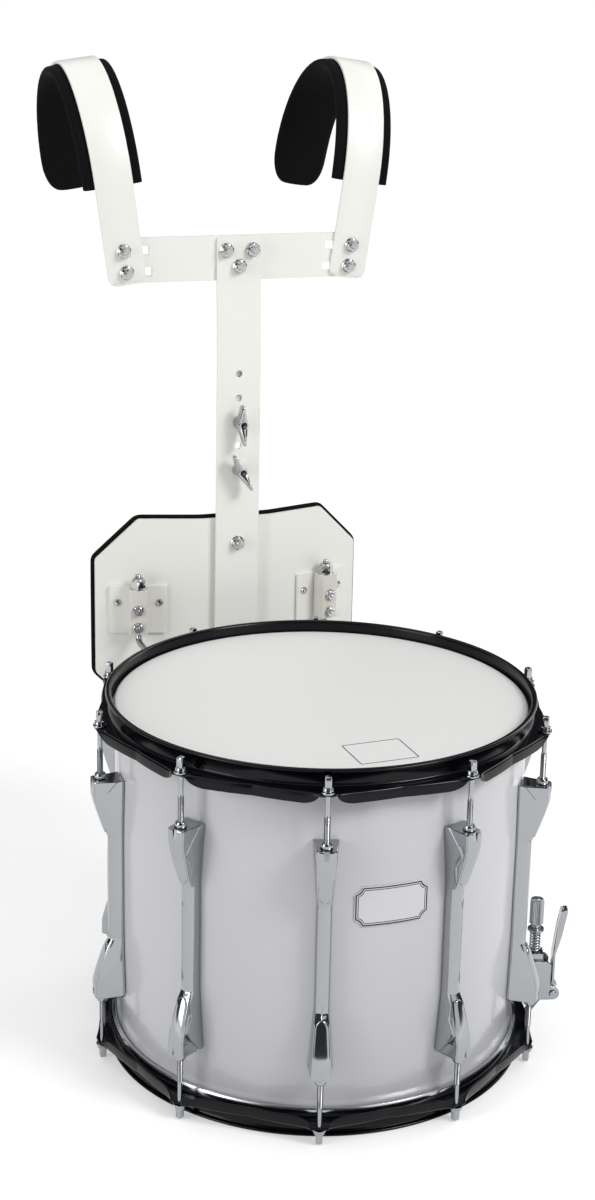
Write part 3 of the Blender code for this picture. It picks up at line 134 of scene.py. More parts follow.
def turned(profile, steps=128, closed=False):
    """Turn (radius, height) pairs in mm about Z. A radius of 0 at an end closes it to one point."""
    work = bmesh.new()
    turns = [math.tau * i / steps for i in range(steps)]
    rings = []
    for radius, height in profile:
        if radius == 0:
            rings.append([work.verts.new((0, 0, height * MM))] * steps)
            continue
        rings.append([work.verts.new((radius * MM * math.cos(t), radius * MM * math.sin(t), height * MM))
                      for t in turns])
    for near, far in list(zip(rings, rings[1:])) + ([(rings[-1], rings[0])] if closed else []):
        for i in range(steps):
            j = (i + 1) % steps
            corners = [near[i], near[j], far[j], far[i]]
            work.faces.new([v for k, v in enumerate(corners) if v not in corners[:k]])
    outward(work)
    return kept(work, "turned")


def added(name, data):
    """A new object in the scene."""
    item = bpy.data.objects.new(name, data)
    bpy.context.scene.collection.objects.link(item)
    return item


def fitted(name, mesh, material, body, replaced=(), sharp=32, bevel=0.0, segments=2):
    """A finished piece: placed in its mesh, smooth shaded, riding its body for the CAD nodes it replaces."""
    mesh = mesh.copy()
    mesh.transform(AXIS)
    mesh.materials.clear()
    mesh.materials.append(material)
    mesh.polygons.foreach_set("material_index", [0] * len(mesh.polygons))
    mesh.shade_smooth()
    mesh.set_sharp_from_angle(angle=math.radians(sharp))
    item = added(name, mesh)
    if bevel:
        edge = item.modifiers.new("edges", "BEVEL")
        edge.width = bevel * MM
        edge.segments = segments
        edge.limit_method = "ANGLE"
        edge.angle_limit = math.radians(40)
        edge.harden_normals = True
    if replaced:
        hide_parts(*replaced)
    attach(item, body)
    return item


# Hard plastic covering: a broad gloss that follows the tube, with faint long waves from the wood.
# Its white is written as a light grey: painted shade for the dimmer light on the shell's upright side.
covering = surface("white_gloss_covering", "#C6C6C9", 0.2, grain=(45.0, 0.12, 1.0), Coat_Weight=0.2,
                   Coat_Roughness=0.06)
shell_profile = [(SHELL_R - SHELL_WALL, SHELL_HIGH - 6.2), (SHELL_R - 2.6, SHELL_HIGH - 0.6),
                 (SHELL_R - 1.6, SHELL_HIGH), (SHELL_R - 0.5, SHELL_HIGH - 0.4), (SHELL_R, SHELL_HIGH - 1.6)]
shell_profile += [(r, SHELL_LOW + SHELL_HIGH - z) for r, z in reversed(shell_profile)]
shell_mesh = turned(shell_profile, 240, closed=True)
fitted("shell_skin", shell_mesh, covering, "drum", ["shell"], sharp=50)


# Heads. Polyester film with a sprayed white coating, a little rough to brush on. Each is crimped
# into a flesh hoop of bent aluminium channel and bends down over the bearing edge as a collar.
RIM_TOP = 325.0
FILM_TOP = 315.7
FILM_FOOT = FILM_TOP - 0.35
FLESH_TOP = 308.1
FLESH_FOOT = 300.1
FLESH_IN = 177.0
FLESH_OUT = 181.5
# Sprayed coating: nearly matt, with a tooth that breaks up the light. Its 1.8 mm pitch is coarser
# than the real tooth, so that it shows.
film = surface("coated_polyester_film", "#DADAD9", 0.46, grain=(1.8, 0.04, 3.0))
# Rolled aluminium: a dull silver line between the hoop and the shell.
flesh_metal = surface("rolled_aluminium_channel", "#C9CBCE", 0.22, 1.0)


def at(mesh, place):
    """A copy of a mesh with a place applied to it."""
    copy = mesh.copy()
    copy.transform(place)
    return copy


def mirrored(mesh):
    """A top piece turned over for the bottom of the drum."""
    copy = at(mesh, Matrix.Translation((0, 0, RIM_TOP * MM)) @ Matrix.Scale(-1, 4, (0, 0, 1)))
    copy.flip_normals()
    return copy


film_mesh = turned([(0, FILM_TOP), (60, FILM_TOP), (120, FILM_TOP), (170, FILM_TOP), (174.6, FILM_TOP),
                    (176.0, FILM_TOP - 0.25), (176.9, FILM_TOP - 1.0), (177.2, FILM_TOP - 2.4),
                    (177.6, FLESH_TOP), (177.3, FLESH_TOP), (176.85, FILM_TOP - 2.4), (176.5, FILM_TOP - 1.2),
                    (174.6, FILM_FOOT), (120, FILM_FOOT), (0, FILM_FOOT)], 240)
flesh_mesh = turned([
    (FLESH_IN, FLESH_TOP - 0.4), (FLESH_IN + 0.6, FLESH_TOP), (FLESH_OUT - 0.6, FLESH_TOP),
    (FLESH_OUT, FLESH_TOP - 0.8), (FLESH_OUT, FLESH_FOOT + 1.2), (FLESH_OUT - 0.9, FLESH_FOOT),
    (FLESH_IN + 0.9, FLESH_FOOT), (FLESH_IN, FLESH_FOOT + 0.8)], 240, closed=True)
for end, film_part, flesh_part in (("top", film_mesh, flesh_mesh),
                                   ("bottom", mirrored(film_mesh), mirrored(flesh_mesh))):
    fitted(f"{end}_film", film_part, film, "drum", [f"{end}_head"], sharp=40)
    fitted(f"{end}_flesh_hoop", flesh_part, flesh_metal, "drum", sharp=40)


# Counter hoops. Steel sheet pressed to shape: a rolled rim, a wall, and a flange that is turned
# down as a scalloped skirt between its rod ears. Black enamel, baked to a high gloss.
ROD_COUNT = 10
FIRST_ROD = 18.0
BAY = 360.0 / ROD_COUNT
HOOP_IN = SHELL_R + 3.0
SHEET = 1.6
FLANGE_TOP = RIM_TOP - 15.0
ROD_CIRCLE = HOOP_IN + 15.3
EAR_OUT = HOOP_IN + 19.5
EAR_HALF = 7.5
SKIRT_OUT = HOOP_IN + 9.0
SKIRT_DEEP = 9.5
SKIRT_RUNOUT = 22.0
HOOP_STEPS = 720
STRAINER_TURN = 72.0
GATE_HALF = 13.0
GATE_LOW = 3.6
GATE_HIGH = 13.0
# Baked enamel: deep black, with thin sharp highlights along the rim and the skirt's bends.
enamel = surface("black_baked_enamel", "#07080D", 0.15, grain=(6.0, 0.03, 1.0), Specular_IOR_Level=0.2)


def lofted(rings, closed=False):
    """Mesh through rings of equal point counts, in mm; capped at its ends unless it closes on itself."""
    work = bmesh.new()
    rows = [[work.verts.new(Vector(p) * MM) for p in ring] for ring in rings]
    count = len(rows[0])
    for near, far in list(zip(rows, rows[1:])) + ([(rows[-1], rows[0])] if closed else []):
        for i in range(count):
            j = (i + 1) % count
            work.faces.new((near[i], near[j], far[j], far[i]))
    if not closed:
        work.faces.new(rows[0])
        work.faces.new(list(reversed(rows[-1])))
    outward(work)
    return kept(work, "loft")


def skirt_at(offset):
    """Reach and depth of the hoop's skirt, in mm, at an angle from the nearest rod."""
    along = ROD_CIRCLE * math.radians(abs(offset))
    half_bay = ROD_CIRCLE * math.radians(BAY / 2)
    rise = min(max((along - EAR_HALF) / (SKIRT_RUNOUT - EAR_HALF), 0.0), 1.0)
    scallop = max((along - EAR_HALF) / (half_bay - EAR_HALF), 0.0)
    depth = SHEET + (SKIRT_DEEP - SHEET) * math.sqrt(rise * (2 - rise))
    return EAR_OUT + (SKIRT_OUT - EAR_OUT) * math.sqrt(scallop), depth


def hoop_section(offset):
    """The sheet's section at one angle, inner side first, with rounded bends."""
    reach, depth = skirt_at(offset)
    wall = HOOP_IN + SHEET
    low = FLANGE_TOP - SHEET
    foot = FLANGE_TOP - depth
    bend = min(1.6, depth / 2)
    inner = reach - SHEET
    return [
        (HOOP_IN, low), (HOOP_IN, RIM_TOP - 2.2), (HOOP_IN + 0.35, RIM_TOP - 0.9),
        (HOOP_IN + 1.3, RIM_TOP - 0.15), (HOOP_IN + 2.5, RIM_TOP), (HOOP_IN + 3.9, RIM_TOP - 0.2),
        (HOOP_IN + 4.8, RIM_TOP - 0.9), (HOOP_IN + 5.0, RIM_TOP - 1.7), (HOOP_IN + 4.6, RIM_TOP - 2.6),
        (HOOP_IN + 3.6, RIM_TOP - 3.0), (wall + 0.5, RIM_TOP - 3.1), (wall, RIM_TOP - 3.6),
        (wall, FLANGE_TOP + 1.8), (wall + 0.5, FLANGE_TOP + 0.5), (wall + 1.8, FLANGE_TOP),
        (reach - bend, FLANGE_TOP), (reach - bend * 0.3, FLANGE_TOP - bend * 0.3),
        (reach, FLANGE_TOP - bend), (reach, foot + 0.3), (reach - SHEET / 2, foot),
        (inner, foot + 0.2), (inner, min(low, foot + 0.4)), (inner - 0.5, low), (wall, low),
    ]


def box_mesh(low, high):
    """A block between two corners, in mm."""
    work = bmesh.new()
    bmesh.ops.create_cube(work, size=1.0)
    for vertex in work.verts:
        vertex.co = Vector([(a + b) / 2 + c * (b - a) for a, b, c in zip(low, high, vertex.co)]) * MM
    return kept(work, "block")


def opened(*meshes):
    """An editing copy of one or more meshes."""
    work = bmesh.new()
    for mesh in meshes:
        work.from_mesh(mesh)
    return work


def joined(*meshes):
    """One mesh from several."""
    return kept(opened(*meshes), "joined")


def frozen(item, *helpers):
    """The plain mesh of an object as its modifiers leave it; the object and its helpers go."""
    graph = bpy.context.evaluated_depsgraph_get()
    mesh = bpy.data.meshes.new_from_object(item.evaluated_get(graph))
    item.modifiers.clear()
    for spent in (item,) + helpers:
        bpy.data.objects.remove(spent, do_unlink=True)
    return mesh


def carved(mesh, cutter, operation="DIFFERENCE"):
    """The mesh with another cut from it or joined to it."""
    holder = added("holder", mesh)
    tool = added("tool", cutter)
    boolean = holder.modifiers.new("cut", "BOOLEAN")
    boolean.operation = operation
    boolean.solver = "EXACT"
    boolean.object = tool
    return frozen(holder, tool)


def spun(mesh, degrees, axis="Z"):
    """A copy of a mesh turned about an axis."""
    return at(mesh, Matrix.Rotation(math.radians(degrees), 4, axis))


def shifted(mesh, x=0.0, y=0.0, z=0.0):
    """A copy of a mesh moved by millimetres."""
    return at(mesh, Matrix.Translation(Vector((x, y, z)) * MM))


hoop_rings = []
for step in range(HOOP_STEPS):
    angle = 360.0 * step / HOOP_STEPS
    offset = (angle - FIRST_ROD + BAY / 2) % BAY - BAY / 2
    turn = math.radians(angle)
    hoop_rings.append([(r * math.sin(turn), -r * math.cos(turn), z) for r, z in hoop_section(offset)])
hoop_mesh = lofted(hoop_rings, closed=True)
gate = box_mesh((-GATE_HALF, -HOOP_IN - 6.5, GATE_LOW), (GATE_HALF, -HOOP_IN + 3.5, GATE_HIGH))
gates = joined(spun(gate, STRAINER_TURN), spun(gate, STRAINER_TURN + 180))
for end, hoop in (("top", hoop_mesh), ("bottom", carved(mirrored(hoop_mesh), gates))):
    fitted(f"{end}_counter_hoop", hoop, enamel, "drum", [f"{end}_hoop"], sharp=50)


# Key rods. Steel turned and thread-rolled, then chromed: a square head for the drum key, a
# collar on a loose washer, a waisted bare shank, and thread that runs into the lug's nut.
SEAT = FLANGE_TOP + 0.3
KEY_FOOT = SEAT + 4.6
KEY_TOP = KEY_FOOT + 9.0
COLLAR_R = 4.75
WASHER_R = 5.75
SHANK_R = 2.1
SHANK_FOOT = 290.6
THREAD_R = 2.65
THREAD_FOOT = 255.0
THREAD_TOP = 290.2
# Polished chrome: a mirror whose tone comes from what stands round it, a little wavy like a casting.
chrome = surface("bright_chrome_plate", "#A4A7AA", 0.09, 1.0, grain=(20.0, 0.02, 0.0))
# Thread rolled before plating: its crests glint and its roots stay dark.
thread_chrome = surface("rolled_chrome_thread", "#8F9194", 0.28, 1.0)


def threaded(radius, low, high, pitch, deep, sides=20):
    """A rod with a rolled thread: the radius follows one helix all the way up."""
    rings = []
    count = int((high - low) / pitch * 4)
    for row in range(count + 1):
        height = low + (high - low) * row / count
        ring = []
        for side in range(sides):
            phase = (height / pitch + side / sides) % 1.0
            r = radius - deep * abs(2 * phase - 1)
            turn = math.tau * side / sides
            ring.append((r * math.cos(turn), r * math.sin(turn), height))
        rings.append(ring)
    return lofted(rings)


def rule_tree(name, labels):
    """A Geometry Nodes tree with a geometry input and named inputs, and what they give."""
    tree = bpy.data.node_groups.new(name, "GeometryNodeTree")
    for label, kind in (("Geometry", "Geometry"),) + labels:
        tree.interface.new_socket(label, in_out="INPUT", socket_type=f"NodeSocket{kind}")
    tree.interface.new_socket("Geometry", in_out="OUTPUT", socket_type="NodeSocketGeometry")
    return tree, node(tree, "NodeGroupInput").outputs


def ended(tree, copies, material):
    """The end of each tree: the copies are made real and given their material."""
    real = node(tree, "GeometryNodeRealizeInstances", Geometry=copies)
    coated = node(tree, "GeometryNodeSetMaterial", Geometry=real, Material=material)
    node(tree, "NodeGroupOutput", Geometry=coated)
    return tree


def around_drum(name):
    """Geometry Nodes tree that repeats one piece round the drum, first copy at a stated angle."""
    tree, given = rule_tree(name, (("Count", "Int"), ("Circle Radius", "Float"), ("First Angle", "Float"),
                                   ("Material", "Material")))
    index = node(tree, "GeometryNodeInputIndex")
    step = node(tree, "ShaderNodeMath", {"operation": "DIVIDE"}, i0=math.tau, i1=given["Count"])
    turn = node(tree, "ShaderNodeMath", {"operation": "MULTIPLY_ADD"}, i0=index, i1=step,
                i2=given["First Angle"])
    sine = node(tree, "ShaderNodeMath", {"operation": "SINE"}, i0=turn)
    cosine = node(tree, "ShaderNodeMath", {"operation": "COSINE"}, i0=turn)
    reach = given["Circle Radius"]
    back = node(tree, "ShaderNodeMath", {"operation": "MULTIPLY"}, i0=reach, i1=-1.0)
    x = node(tree, "ShaderNodeMath", {"operation": "MULTIPLY"}, i0=sine, i1=reach)
    y = node(tree, "ShaderNodeMath", {"operation": "MULTIPLY"}, i0=cosine, i1=back)
    place = node(tree, "ShaderNodeCombineXYZ", X=x, Y=y)
    points = node(tree, "GeometryNodePoints", Count=given["Count"], Position=place)
    spin = node(tree, "ShaderNodeCombineXYZ", Z=turn)
    copies = node(tree, "GeometryNodeInstanceOnPoints", Points=points, Instance=given["Geometry"],
                  Rotation=spin)
    return ended(tree, copies, given["Material"])


def baked(mesh, tree, **inputs):
    """The plain mesh that a Geometry Nodes tree makes from this one."""
    holder = added("holder", mesh)
    modifier = holder.modifiers.new("nodes", "NODES")
    modifier.node_group = tree
    sockets = {s.name: s.identifier for s in tree.interface.items_tree if s.in_out == "INPUT"}
    for label, value in inputs.items():
        modifier[sockets[label.replace("_", " ")]] = value
    return frozen(holder)


ring_tree = around_drum("copies_round_the_drum")


def round_the_drum(mesh, radius, material):
    """One copy of a piece at each rod's angle."""
    return baked(mesh, ring_tree, Count=ROD_COUNT, Circle_Radius=radius * MM,
                 First_Angle=math.radians(FIRST_ROD), Material=material)


def arc(x, y, radius, start, end, steps=8):
    """Points along part of a circle, between two angles in degrees."""
    turns = [math.radians(start + (end - start) * i / steps) for i in range(steps + 1)]
    return [(x + radius * math.cos(t), y + radius * math.sin(t)) for t in turns]


def rounded(x0, y0, x1, y1, radius, steps=5):
    """A rectangle with rounded corners."""
    right, high, left, low = x1 - radius, y1 - radius, x0 + radius, y0 + radius
    ring = []
    for start, (x, y) in zip((0, 90, 180, 270), ((right, high), (left, high), (left, low), (right, low))):
        ring += arc(x, y, radius, start, start + 90, steps)
    return ring


def squared(side, height):
    """One level section of the key head."""
    half = side / 2
    return [(x, y, height) for x, y in rounded(-half, -half, half, half, 0.9, 3)]


rod_body = turned([
    (0, KEY_FOOT + 0.4), (3.6, KEY_FOOT + 0.4), (4.3, KEY_FOOT), (COLLAR_R - 0.15, SEAT + 3.4),
    (COLLAR_R, SEAT + 2.4), (4.1, SEAT + 1.9), (4.1, SEAT + 1.7), (WASHER_R - 0.15, SEAT + 1.6),
    (WASHER_R, SEAT + 1.2), (WASHER_R, SEAT + 0.4), (WASHER_R - 0.15, SEAT), (SHANK_R + 0.2, SEAT),
    (SHANK_R, SEAT - 1.0), (SHANK_R, SHANK_FOOT), (2.5, SHANK_FOOT - 1.2), (0, SHANK_FOOT - 1.2)], 32)
key_head = lofted([squared(5.7, KEY_FOOT), squared(5.5, KEY_TOP - 1.4), squared(5.0, KEY_TOP - 0.5),
                   squared(3.6, KEY_TOP)])
rod_thread = threaded(THREAD_R, THREAD_FOOT, THREAD_TOP, 0.9, 0.42)
top_rods = round_the_drum(joined(rod_body, key_head), ROD_CIRCLE, chrome)
top_threads = round_the_drum(rod_thread, ROD_CIRCLE, thread_chrome)
for end, rods, threads in (("top", top_rods, top_threads),
                           ("bottom", mirrored(top_rods), mirrored(top_threads))):
    fitted(f"{end}_key_rods", rods, chrome, "drum",
           [f"tension_rod_{end}_{number:02d}" for number in range(1, ROD_COUNT + 1)], sharp=30)
    fitted(f"{end}_rod_threads", threads, thread_chrome, "drum", sharp=25)


# Lugs. Hollow light-alloy castings, polished and chromed, that span most of the shell: a deep
# casing with a raised tongue at each end, a slim ridged bar between, and a swivel nut in each end.
LUG_HALF = 101.0
LUG_DEEP = 24.6
LUG_WIDE = 21.6
LUG_FACE = SHELL_R + 0.3
LUG_MIDDLE = 12.0
BAR_DEEP = 12.0
BAR_WIDE = 13.4
CASE_START = 13.0
CASE_END = 54.0
TONGUE_HALF = 7.3
TONGUE_TAPER = 1.9
TONGUE_TURN = 42.0
TONGUE_END = 49.5
NOTCH_DEEP = 8.0
# Distance from the lug's end, half widths of its front and its shoulder, shoulder's share of the depth.
LUG_LINES = [(0.0, 8.1, 10.2, 0.2), (21.0, 7.3, 7.7, 0.88), (33.0, 6.7, 7.8, 0.66), (46.0, 5.9, 6.3, 0.84),
             (54.0, 5.0, 5.9, 0.66), (101.0, 5.0, 5.9, 0.66)]


def lug_deep(along):
    """How far the front stands off the shell at a distance from the lug's end."""
    taper = min(max((along - CASE_START) / (CASE_END - CASE_START), 0.0), 1.0)
    return LUG_DEEP + (BAR_DEEP - LUG_DEEP) * taper ** 1.2


def lug_ring(along):
    """Section of the casting: back edge, cheek, shoulder, front edge and the bar's central ridge."""
    deep = lug_deep(along)
    back = (LUG_WIDE + (BAR_WIDE - LUG_WIDE) * min(along / CASE_END, 1.0)) / 2
    for low, high in zip(LUG_LINES, LUG_LINES[1:]):
        if low[0] <= along <= high[0]:
            share = (along - low[0]) / (high[0] - low[0])
            front, shoulder, part = [a + (b - a) * share for a, b in zip(low[1:], high[1:])]
    ridge = 2.4 * min(max((along - 55.0) / 18.0, 0.05), 1.0)
    drop = 1.5 * min(max((along - 47.0) / 8.0, 0.0), 1.0)
    half = [
        (back - 0.3, 0.0), (back, 0.8), (back - 0.05, 2.2),
        (shoulder + 0.2, deep * part - 0.9), (shoulder, deep * part), (shoulder - 0.25, deep * part + 0.5),
        (front + 0.1, deep - drop - 0.55), (front - 0.35, deep - drop - 0.1),
        (ridge + 0.45, deep - 0.35 * drop), (ridge, deep), (ridge * 0.4, deep + 0.05),
    ]
    return half + [(-x, y) for x, y in reversed(half)]


def tongue_ring(along):
    """Section of the raised tongue: its sides are steep, its face is crowned, its end is round."""
    half = TONGUE_HALF - TONGUE_TAPER * min(along / TONGUE_TURN, 1.0)
    if along > TONGUE_TURN:
        half *= math.sqrt(max(1 - ((along - TONGUE_TURN) / (TONGUE_END - TONGUE_TURN)) ** 2, 0.0002))
    foot = lug_deep(along) + 0.1
    rise = 1.0 if half > 2.0 else half / 2.0
    side = [(half, foot - 1.3), (half, foot), (half * 0.95, foot + 0.35 * rise),
            (half * 0.8, foot + 0.68 * rise), (half * 0.5, foot + 0.96 * rise),
            (half * 0.2, foot + 1.08 * rise)]
    return side + [(-x, y) for x, y in reversed(side)]


def stood(section, stations, tucks):
    """Sections stood along the casting; near its end each is drawn in by its share, to round the edge."""
    rings = []
    for along in stations:
        tuck = tucks.get(along, 1.0)
        rings.append([(x * tuck, -(y - LUG_MIDDLE) * tuck - LUG_MIDDLE, LUG_HALF - along)
                      for x, y in section(along)])
    return rings


lug_stations = [0.0, 0.25, 0.9, 2.0, 6.0, 10.0, 13.0, 16.0, 20.0, 21.0, 22.0, 26.0, 30.0, 32.0, 33.0, 34.0]
lug_stations += [38.0, 42.0, 45.0, 46.0, 47.0, 49.0, 51.0, 53.0, 54.0, 55.0, 57.0, 61.0, 67.0, 73.0, 80.0]
lug_rings = stood(lug_ring, lug_stations, {0.0: 0.94, 0.25: 0.975, 0.9: 0.995})
lug_rings += [[(x, y, -z) for x, y, z in ring] for ring in reversed(lug_rings)]
lug_mesh = lofted(lug_rings)
tongue_stations = [0.12, 0.3, 0.8, 2.0, 4.0, 7.0, 10.0, 13.0, 16.0, 20.0, 24.0, 28.0, 32.0, 36.0, 39.0, 42.0]
tongue_stations += [43.5, 45.0, 46.2, 47.2, 48.0, 48.6, 49.0, 49.3, 49.5]
tongue_mesh = lofted(stood(tongue_ring, tongue_stations, {0.12: 0.96, 0.3: 0.98, 0.8: 0.995}))
notch_rings = []
for height, wide, deep in ((LUG_HALF + 1, 2.4, 24.2), (LUG_HALF - NOTCH_DEEP, 1.5, 25.7)):
    notch_rings.append([(x, -y, height) for x, y in ((-wide, 30), (wide, 30), (wide, deep), (-wide, deep))])
notch_mesh = lofted(notch_rings)
NUT_OUT = ROD_CIRCLE - LUG_FACE
nut_mesh = turned([(2.9, 101.5), (2.9, 105.2), (3.4, 105.9), (4.3, 106.0), (4.8, 105.2), (5.0, 103.6),
                   (4.9, 102.0), (4.4, 101.0), (4.4, 98.0), (2.9, 98.0)], 32, closed=True)
nut_mesh = shifted(nut_mesh, y=-NUT_OUT)
socket_mesh = shifted(turned([(0, 108), (5.5, 108), (5.5, 100.2), (5.1, 99.4), (0, 99.4)], 32), y=-NUT_OUT)
for turn in (0, 180):
    lug_mesh = carved(lug_mesh, spun(tongue_mesh, turn, "Y"), "UNION")
    lug_mesh = carved(carved(lug_mesh, spun(socket_mesh, turn, "Y")), spun(notch_mesh, turn, "Y"))
lug_parts = joined(lug_mesh, nut_mesh, spun(nut_mesh, 180, "Y"))
lugs = shifted(round_the_drum(lug_parts, LUG_FACE, chrome), z=RIM_TOP / 2)
fitted("lugs", lugs, chrome, "drum", [f"lug_{n:02d}" for n in range(1, ROD_COUNT + 1)],
       sharp=26)


# Badge and head mark. A thin stamped plate with scooped corners and a printed double line, glued
# to the shell, and a frame printed on the head in the same ink.
BADGE_Z = 203.7
BADGE_SIZE = (63.0, 34.6, 6.4)
BADGE_SCOOP = 1.0
BADGE_R = SHELL_R + 0.3
BADGE_THICK = 1.0
STRIP = 2.5
MARK_SIZE = (50.7, 42.2, 1.6)
MARK_AT = (4.2, -129.4)
MARK_TURN = 2.2
# Satin lacquer: flat and pale, with no image in it.
badge_face = surface("satin_white_badge", "#D2D2D4", 0.3)
# Screen ink: flat black lines.
print_black = surface("black_print", "#17171A", 0.5)


def clipped(width, height, clip, inset=0.0, scoop=0.0):
    """A rectangle's outline with each corner cut off, or scooped out by some millimetres."""
    x = width / 2 - inset
    y = height / 2 - inset
    clip = clip - inset * 0.45
    shape = []
    for sx, sy, flip in ((1, -1, False), (1, 1, True), (-1, 1, False), (-1, -1, True)):
        corner = []
        for t in [k / 6 for k in range(7)]:
            dip = scoop * 2.8 * t * (1 - t)
            corner.append((sx * (x - clip * (1 - t) - dip), sy * (y - clip * t - dip)))
        shape += corner[::-1] if flip else corner
    return shape


def frame_ring(outer, inner, thick):
    """A flat ring between two outlines of equal point counts, in the XY plane."""
    rings = [[(x, y, z) for x, y in shape]
             for shape, z in ((outer, 0), (outer, thick), (inner, thick), (inner, 0))]
    return lofted(rings, closed=True)


def sliced(mesh, axis, places):
    """An editing copy of a mesh, cut across an axis at places in mm so that it can bend there."""
    work = opened(mesh)
    normal = Vector([float(i == axis) for i in range(3)])
    for place in places:
        parts = work.verts[:] + work.edges[:] + work.faces[:]
        bmesh.ops.bisect_plane(work, geom=parts, dist=1e-7, plane_co=normal * place * MM, plane_no=normal)
    return work


def wrapped(mesh, radius, height):
    """Bend a flat mesh round the shell's front, its Z outwards."""
    low = min(v.co.x for v in mesh.vertices) / MM
    wide = max(v.co.x for v in mesh.vertices) / MM - low
    count = max(int(wide / STRIP), 1)
    work = sliced(mesh, 0, [low + wide * i / count for i in range(1, count)])
    for vertex in work.verts:
        reach = radius * MM + vertex.co.z
        turn = vertex.co.x / (radius * MM)
        vertex.co = (reach * math.sin(turn), -reach * math.cos(turn), vertex.co.y + height * MM)
    return kept(work, "wrapped")


plate_rings = [[(x, y, z) for x, y in clipped(*BADGE_SIZE, inset, BADGE_SCOOP)]
               for z, inset in ((0, 0), (BADGE_THICK - 0.25, 0), (BADGE_THICK, 0.25))]
badge_mesh = wrapped(lofted(plate_rings), BADGE_R, BADGE_Z)
fitted("badge", badge_mesh, badge_face, "drum", ["badge_plate"], sharp=30)
lines = [frame_ring(clipped(*BADGE_SIZE, a, BADGE_SCOOP), clipped(*BADGE_SIZE, b, BADGE_SCOOP), 0.12)
         for a, b in ((0.5, 1.6), (2.5, 3.1))]
lines_mesh = wrapped(joined(*lines), BADGE_R + BADGE_THICK - 0.04, BADGE_Z)
fitted("badge_lines", lines_mesh, print_black, "drum", sharp=30)
mark = spun(frame_ring(clipped(*MARK_SIZE), clipped(*MARK_SIZE, 0.8), 0.1), MARK_TURN)
fitted("head_mark", shifted(mark, *MARK_AT, FILM_TOP + 0.02), print_black, "drum", sharp=30)


# Snare strainer's casting. A die-cast channel screwed to the shell and chromed, with a cross pin for
# the lever through the foot of its cheeks, and small screws in its cheek and its back plate.
PIVOT_R = 213.8
PIVOT_Z = 39.0
BASE_BACK = SHELL_R + 0.3
BASE_WIDE = 20.0
CHANNEL_HALF = 7.4
NOSE = 211.2
CHEEK_LOW = 32.5
CHEEK_TOP = 70.2
BASE_TOP = 84.0
STRAINER = Matrix.Rotation(math.radians(STRAINER_TURN), 4, "Z")
BUTT = Matrix.Rotation(math.radians(STRAINER_TURN + 180), 4, "Z")
OUTWARD = Matrix(((0, 0, -1, 0), (-1, 0, 0, 0), (0, 1, 0, 0), (0, 0, 0, 1)))


def slab(outlines, thick, stand=None):
    """A flat piece of a given thickness from outlines in mm; the outlines after the first are holes."""
    curve = bpy.data.curves.new("outline", "CURVE")
    curve.dimensions = "2D"
    curve.fill_mode = "BOTH"
    curve.extrude = thick * MM / 2
    for outline in outlines:
        spline = curve.splines.new("POLY")
        spline.points.add(len(outline) - 1)
        spline.use_cyclic_u = True
        for point, (x, y) in zip(spline.points, outline):
            point.co = (x * MM, y * MM, 0, 1)
    work = opened(frozen(added("outline", curve)))
    bmesh.ops.remove_doubles(work, verts=work.verts, dist=1e-7)
    outward(work)
    mesh = kept(work, "slab")
    return mesh if stand is None else at(mesh, stand)


def socket_screw(head_radius, head_high, shank_radius, shank_low, key_across):
    """A screw along +Z with a domed head above 0 and a key socket sunk into it."""
    rim = key_across / 2 / math.cos(math.radians(30))
    floor = head_high - head_radius * 0.45
    return turned([(0, floor), (rim, floor), (rim, head_high), (head_radius * 0.82, head_high),
                   (head_radius, head_high * 0.7), (head_radius, 0), (shank_radius, 0),
                   (shank_radius, shank_low), (0, shank_low)], 24)


def on_cheek(mesh, reach, height, side=1):
    """A fastener that stands along +Z, put on the outer face of one of the casting's cheeks."""
    return shifted(spun(shifted(mesh, z=BASE_WIDE / 2 + 0.05), 90 * side, "Y"), 0, -reach, height)


def on_front(mesh, reach, height):
    """A fastener that stands along +Z, turned to face outwards at a reach from the drum's axis."""
    return shifted(spun(mesh, 90, "X"), 0, -reach, height)


base_side = [(BASE_BACK, CHEEK_LOW), (PIVOT_R - 12, CHEEK_LOW)] + arc(PIVOT_R, PIVOT_Z, 6, -80, 78, 14)
base_side += [(NOSE + 0.6, 46.6), (NOSE, 48.4), (NOSE - 0.2, CHEEK_TOP - 3.7), (NOSE - 1.6, CHEEK_TOP - 1.2)]
base_side += [(NOSE - 4.5, CHEEK_TOP), (BASE_BACK + 6, CHEEK_TOP), (BASE_BACK + 4, CHEEK_TOP + 1)]
base_side += [(BASE_BACK + 3, 73), (BASE_BACK + 3, BASE_TOP - 2), (BASE_BACK + 1, BASE_TOP),
              (BASE_BACK, BASE_TOP)]
channel = box_mesh((-CHANNEL_HALF, -230, 20), (CHANNEL_HALF, -BASE_BACK - 3, 95))
base_mesh = carved(slab([base_side], BASE_WIDE, OUTWARD), channel)
fitted("strainer_casting", at(base_mesh, STRAINER), chrome, "drum", ["strainer_base"],
       sharp=30, bevel=0.7, segments=3)
pin = on_cheek(socket_screw(4.6, 2.0, 2.2, -21.5, 5.2), PIVOT_R, PIVOT_Z)
end_cap = on_cheek(turned([(0, 1.6), (2.6, 1.6), (3.4, 1.0), (3.4, 0), (0, 0)], 24), PIVOT_R, PIVOT_Z, -1)
cheek_screw = on_cheek(socket_screw(2.6, 1.6, 1.4, -2.0, 2.6), NOSE - 5, 58)
plate_screw = on_front(socket_screw(2.8, 1.5, 1.4, -1.0, 2.8), BASE_BACK + 3.02, 76.5)
screws = joined(pin, end_cap, cheek_screw, plate_screw)
fitted("strainer_pin", at(screws, STRAINER), chrome, "drum", sharp=30)


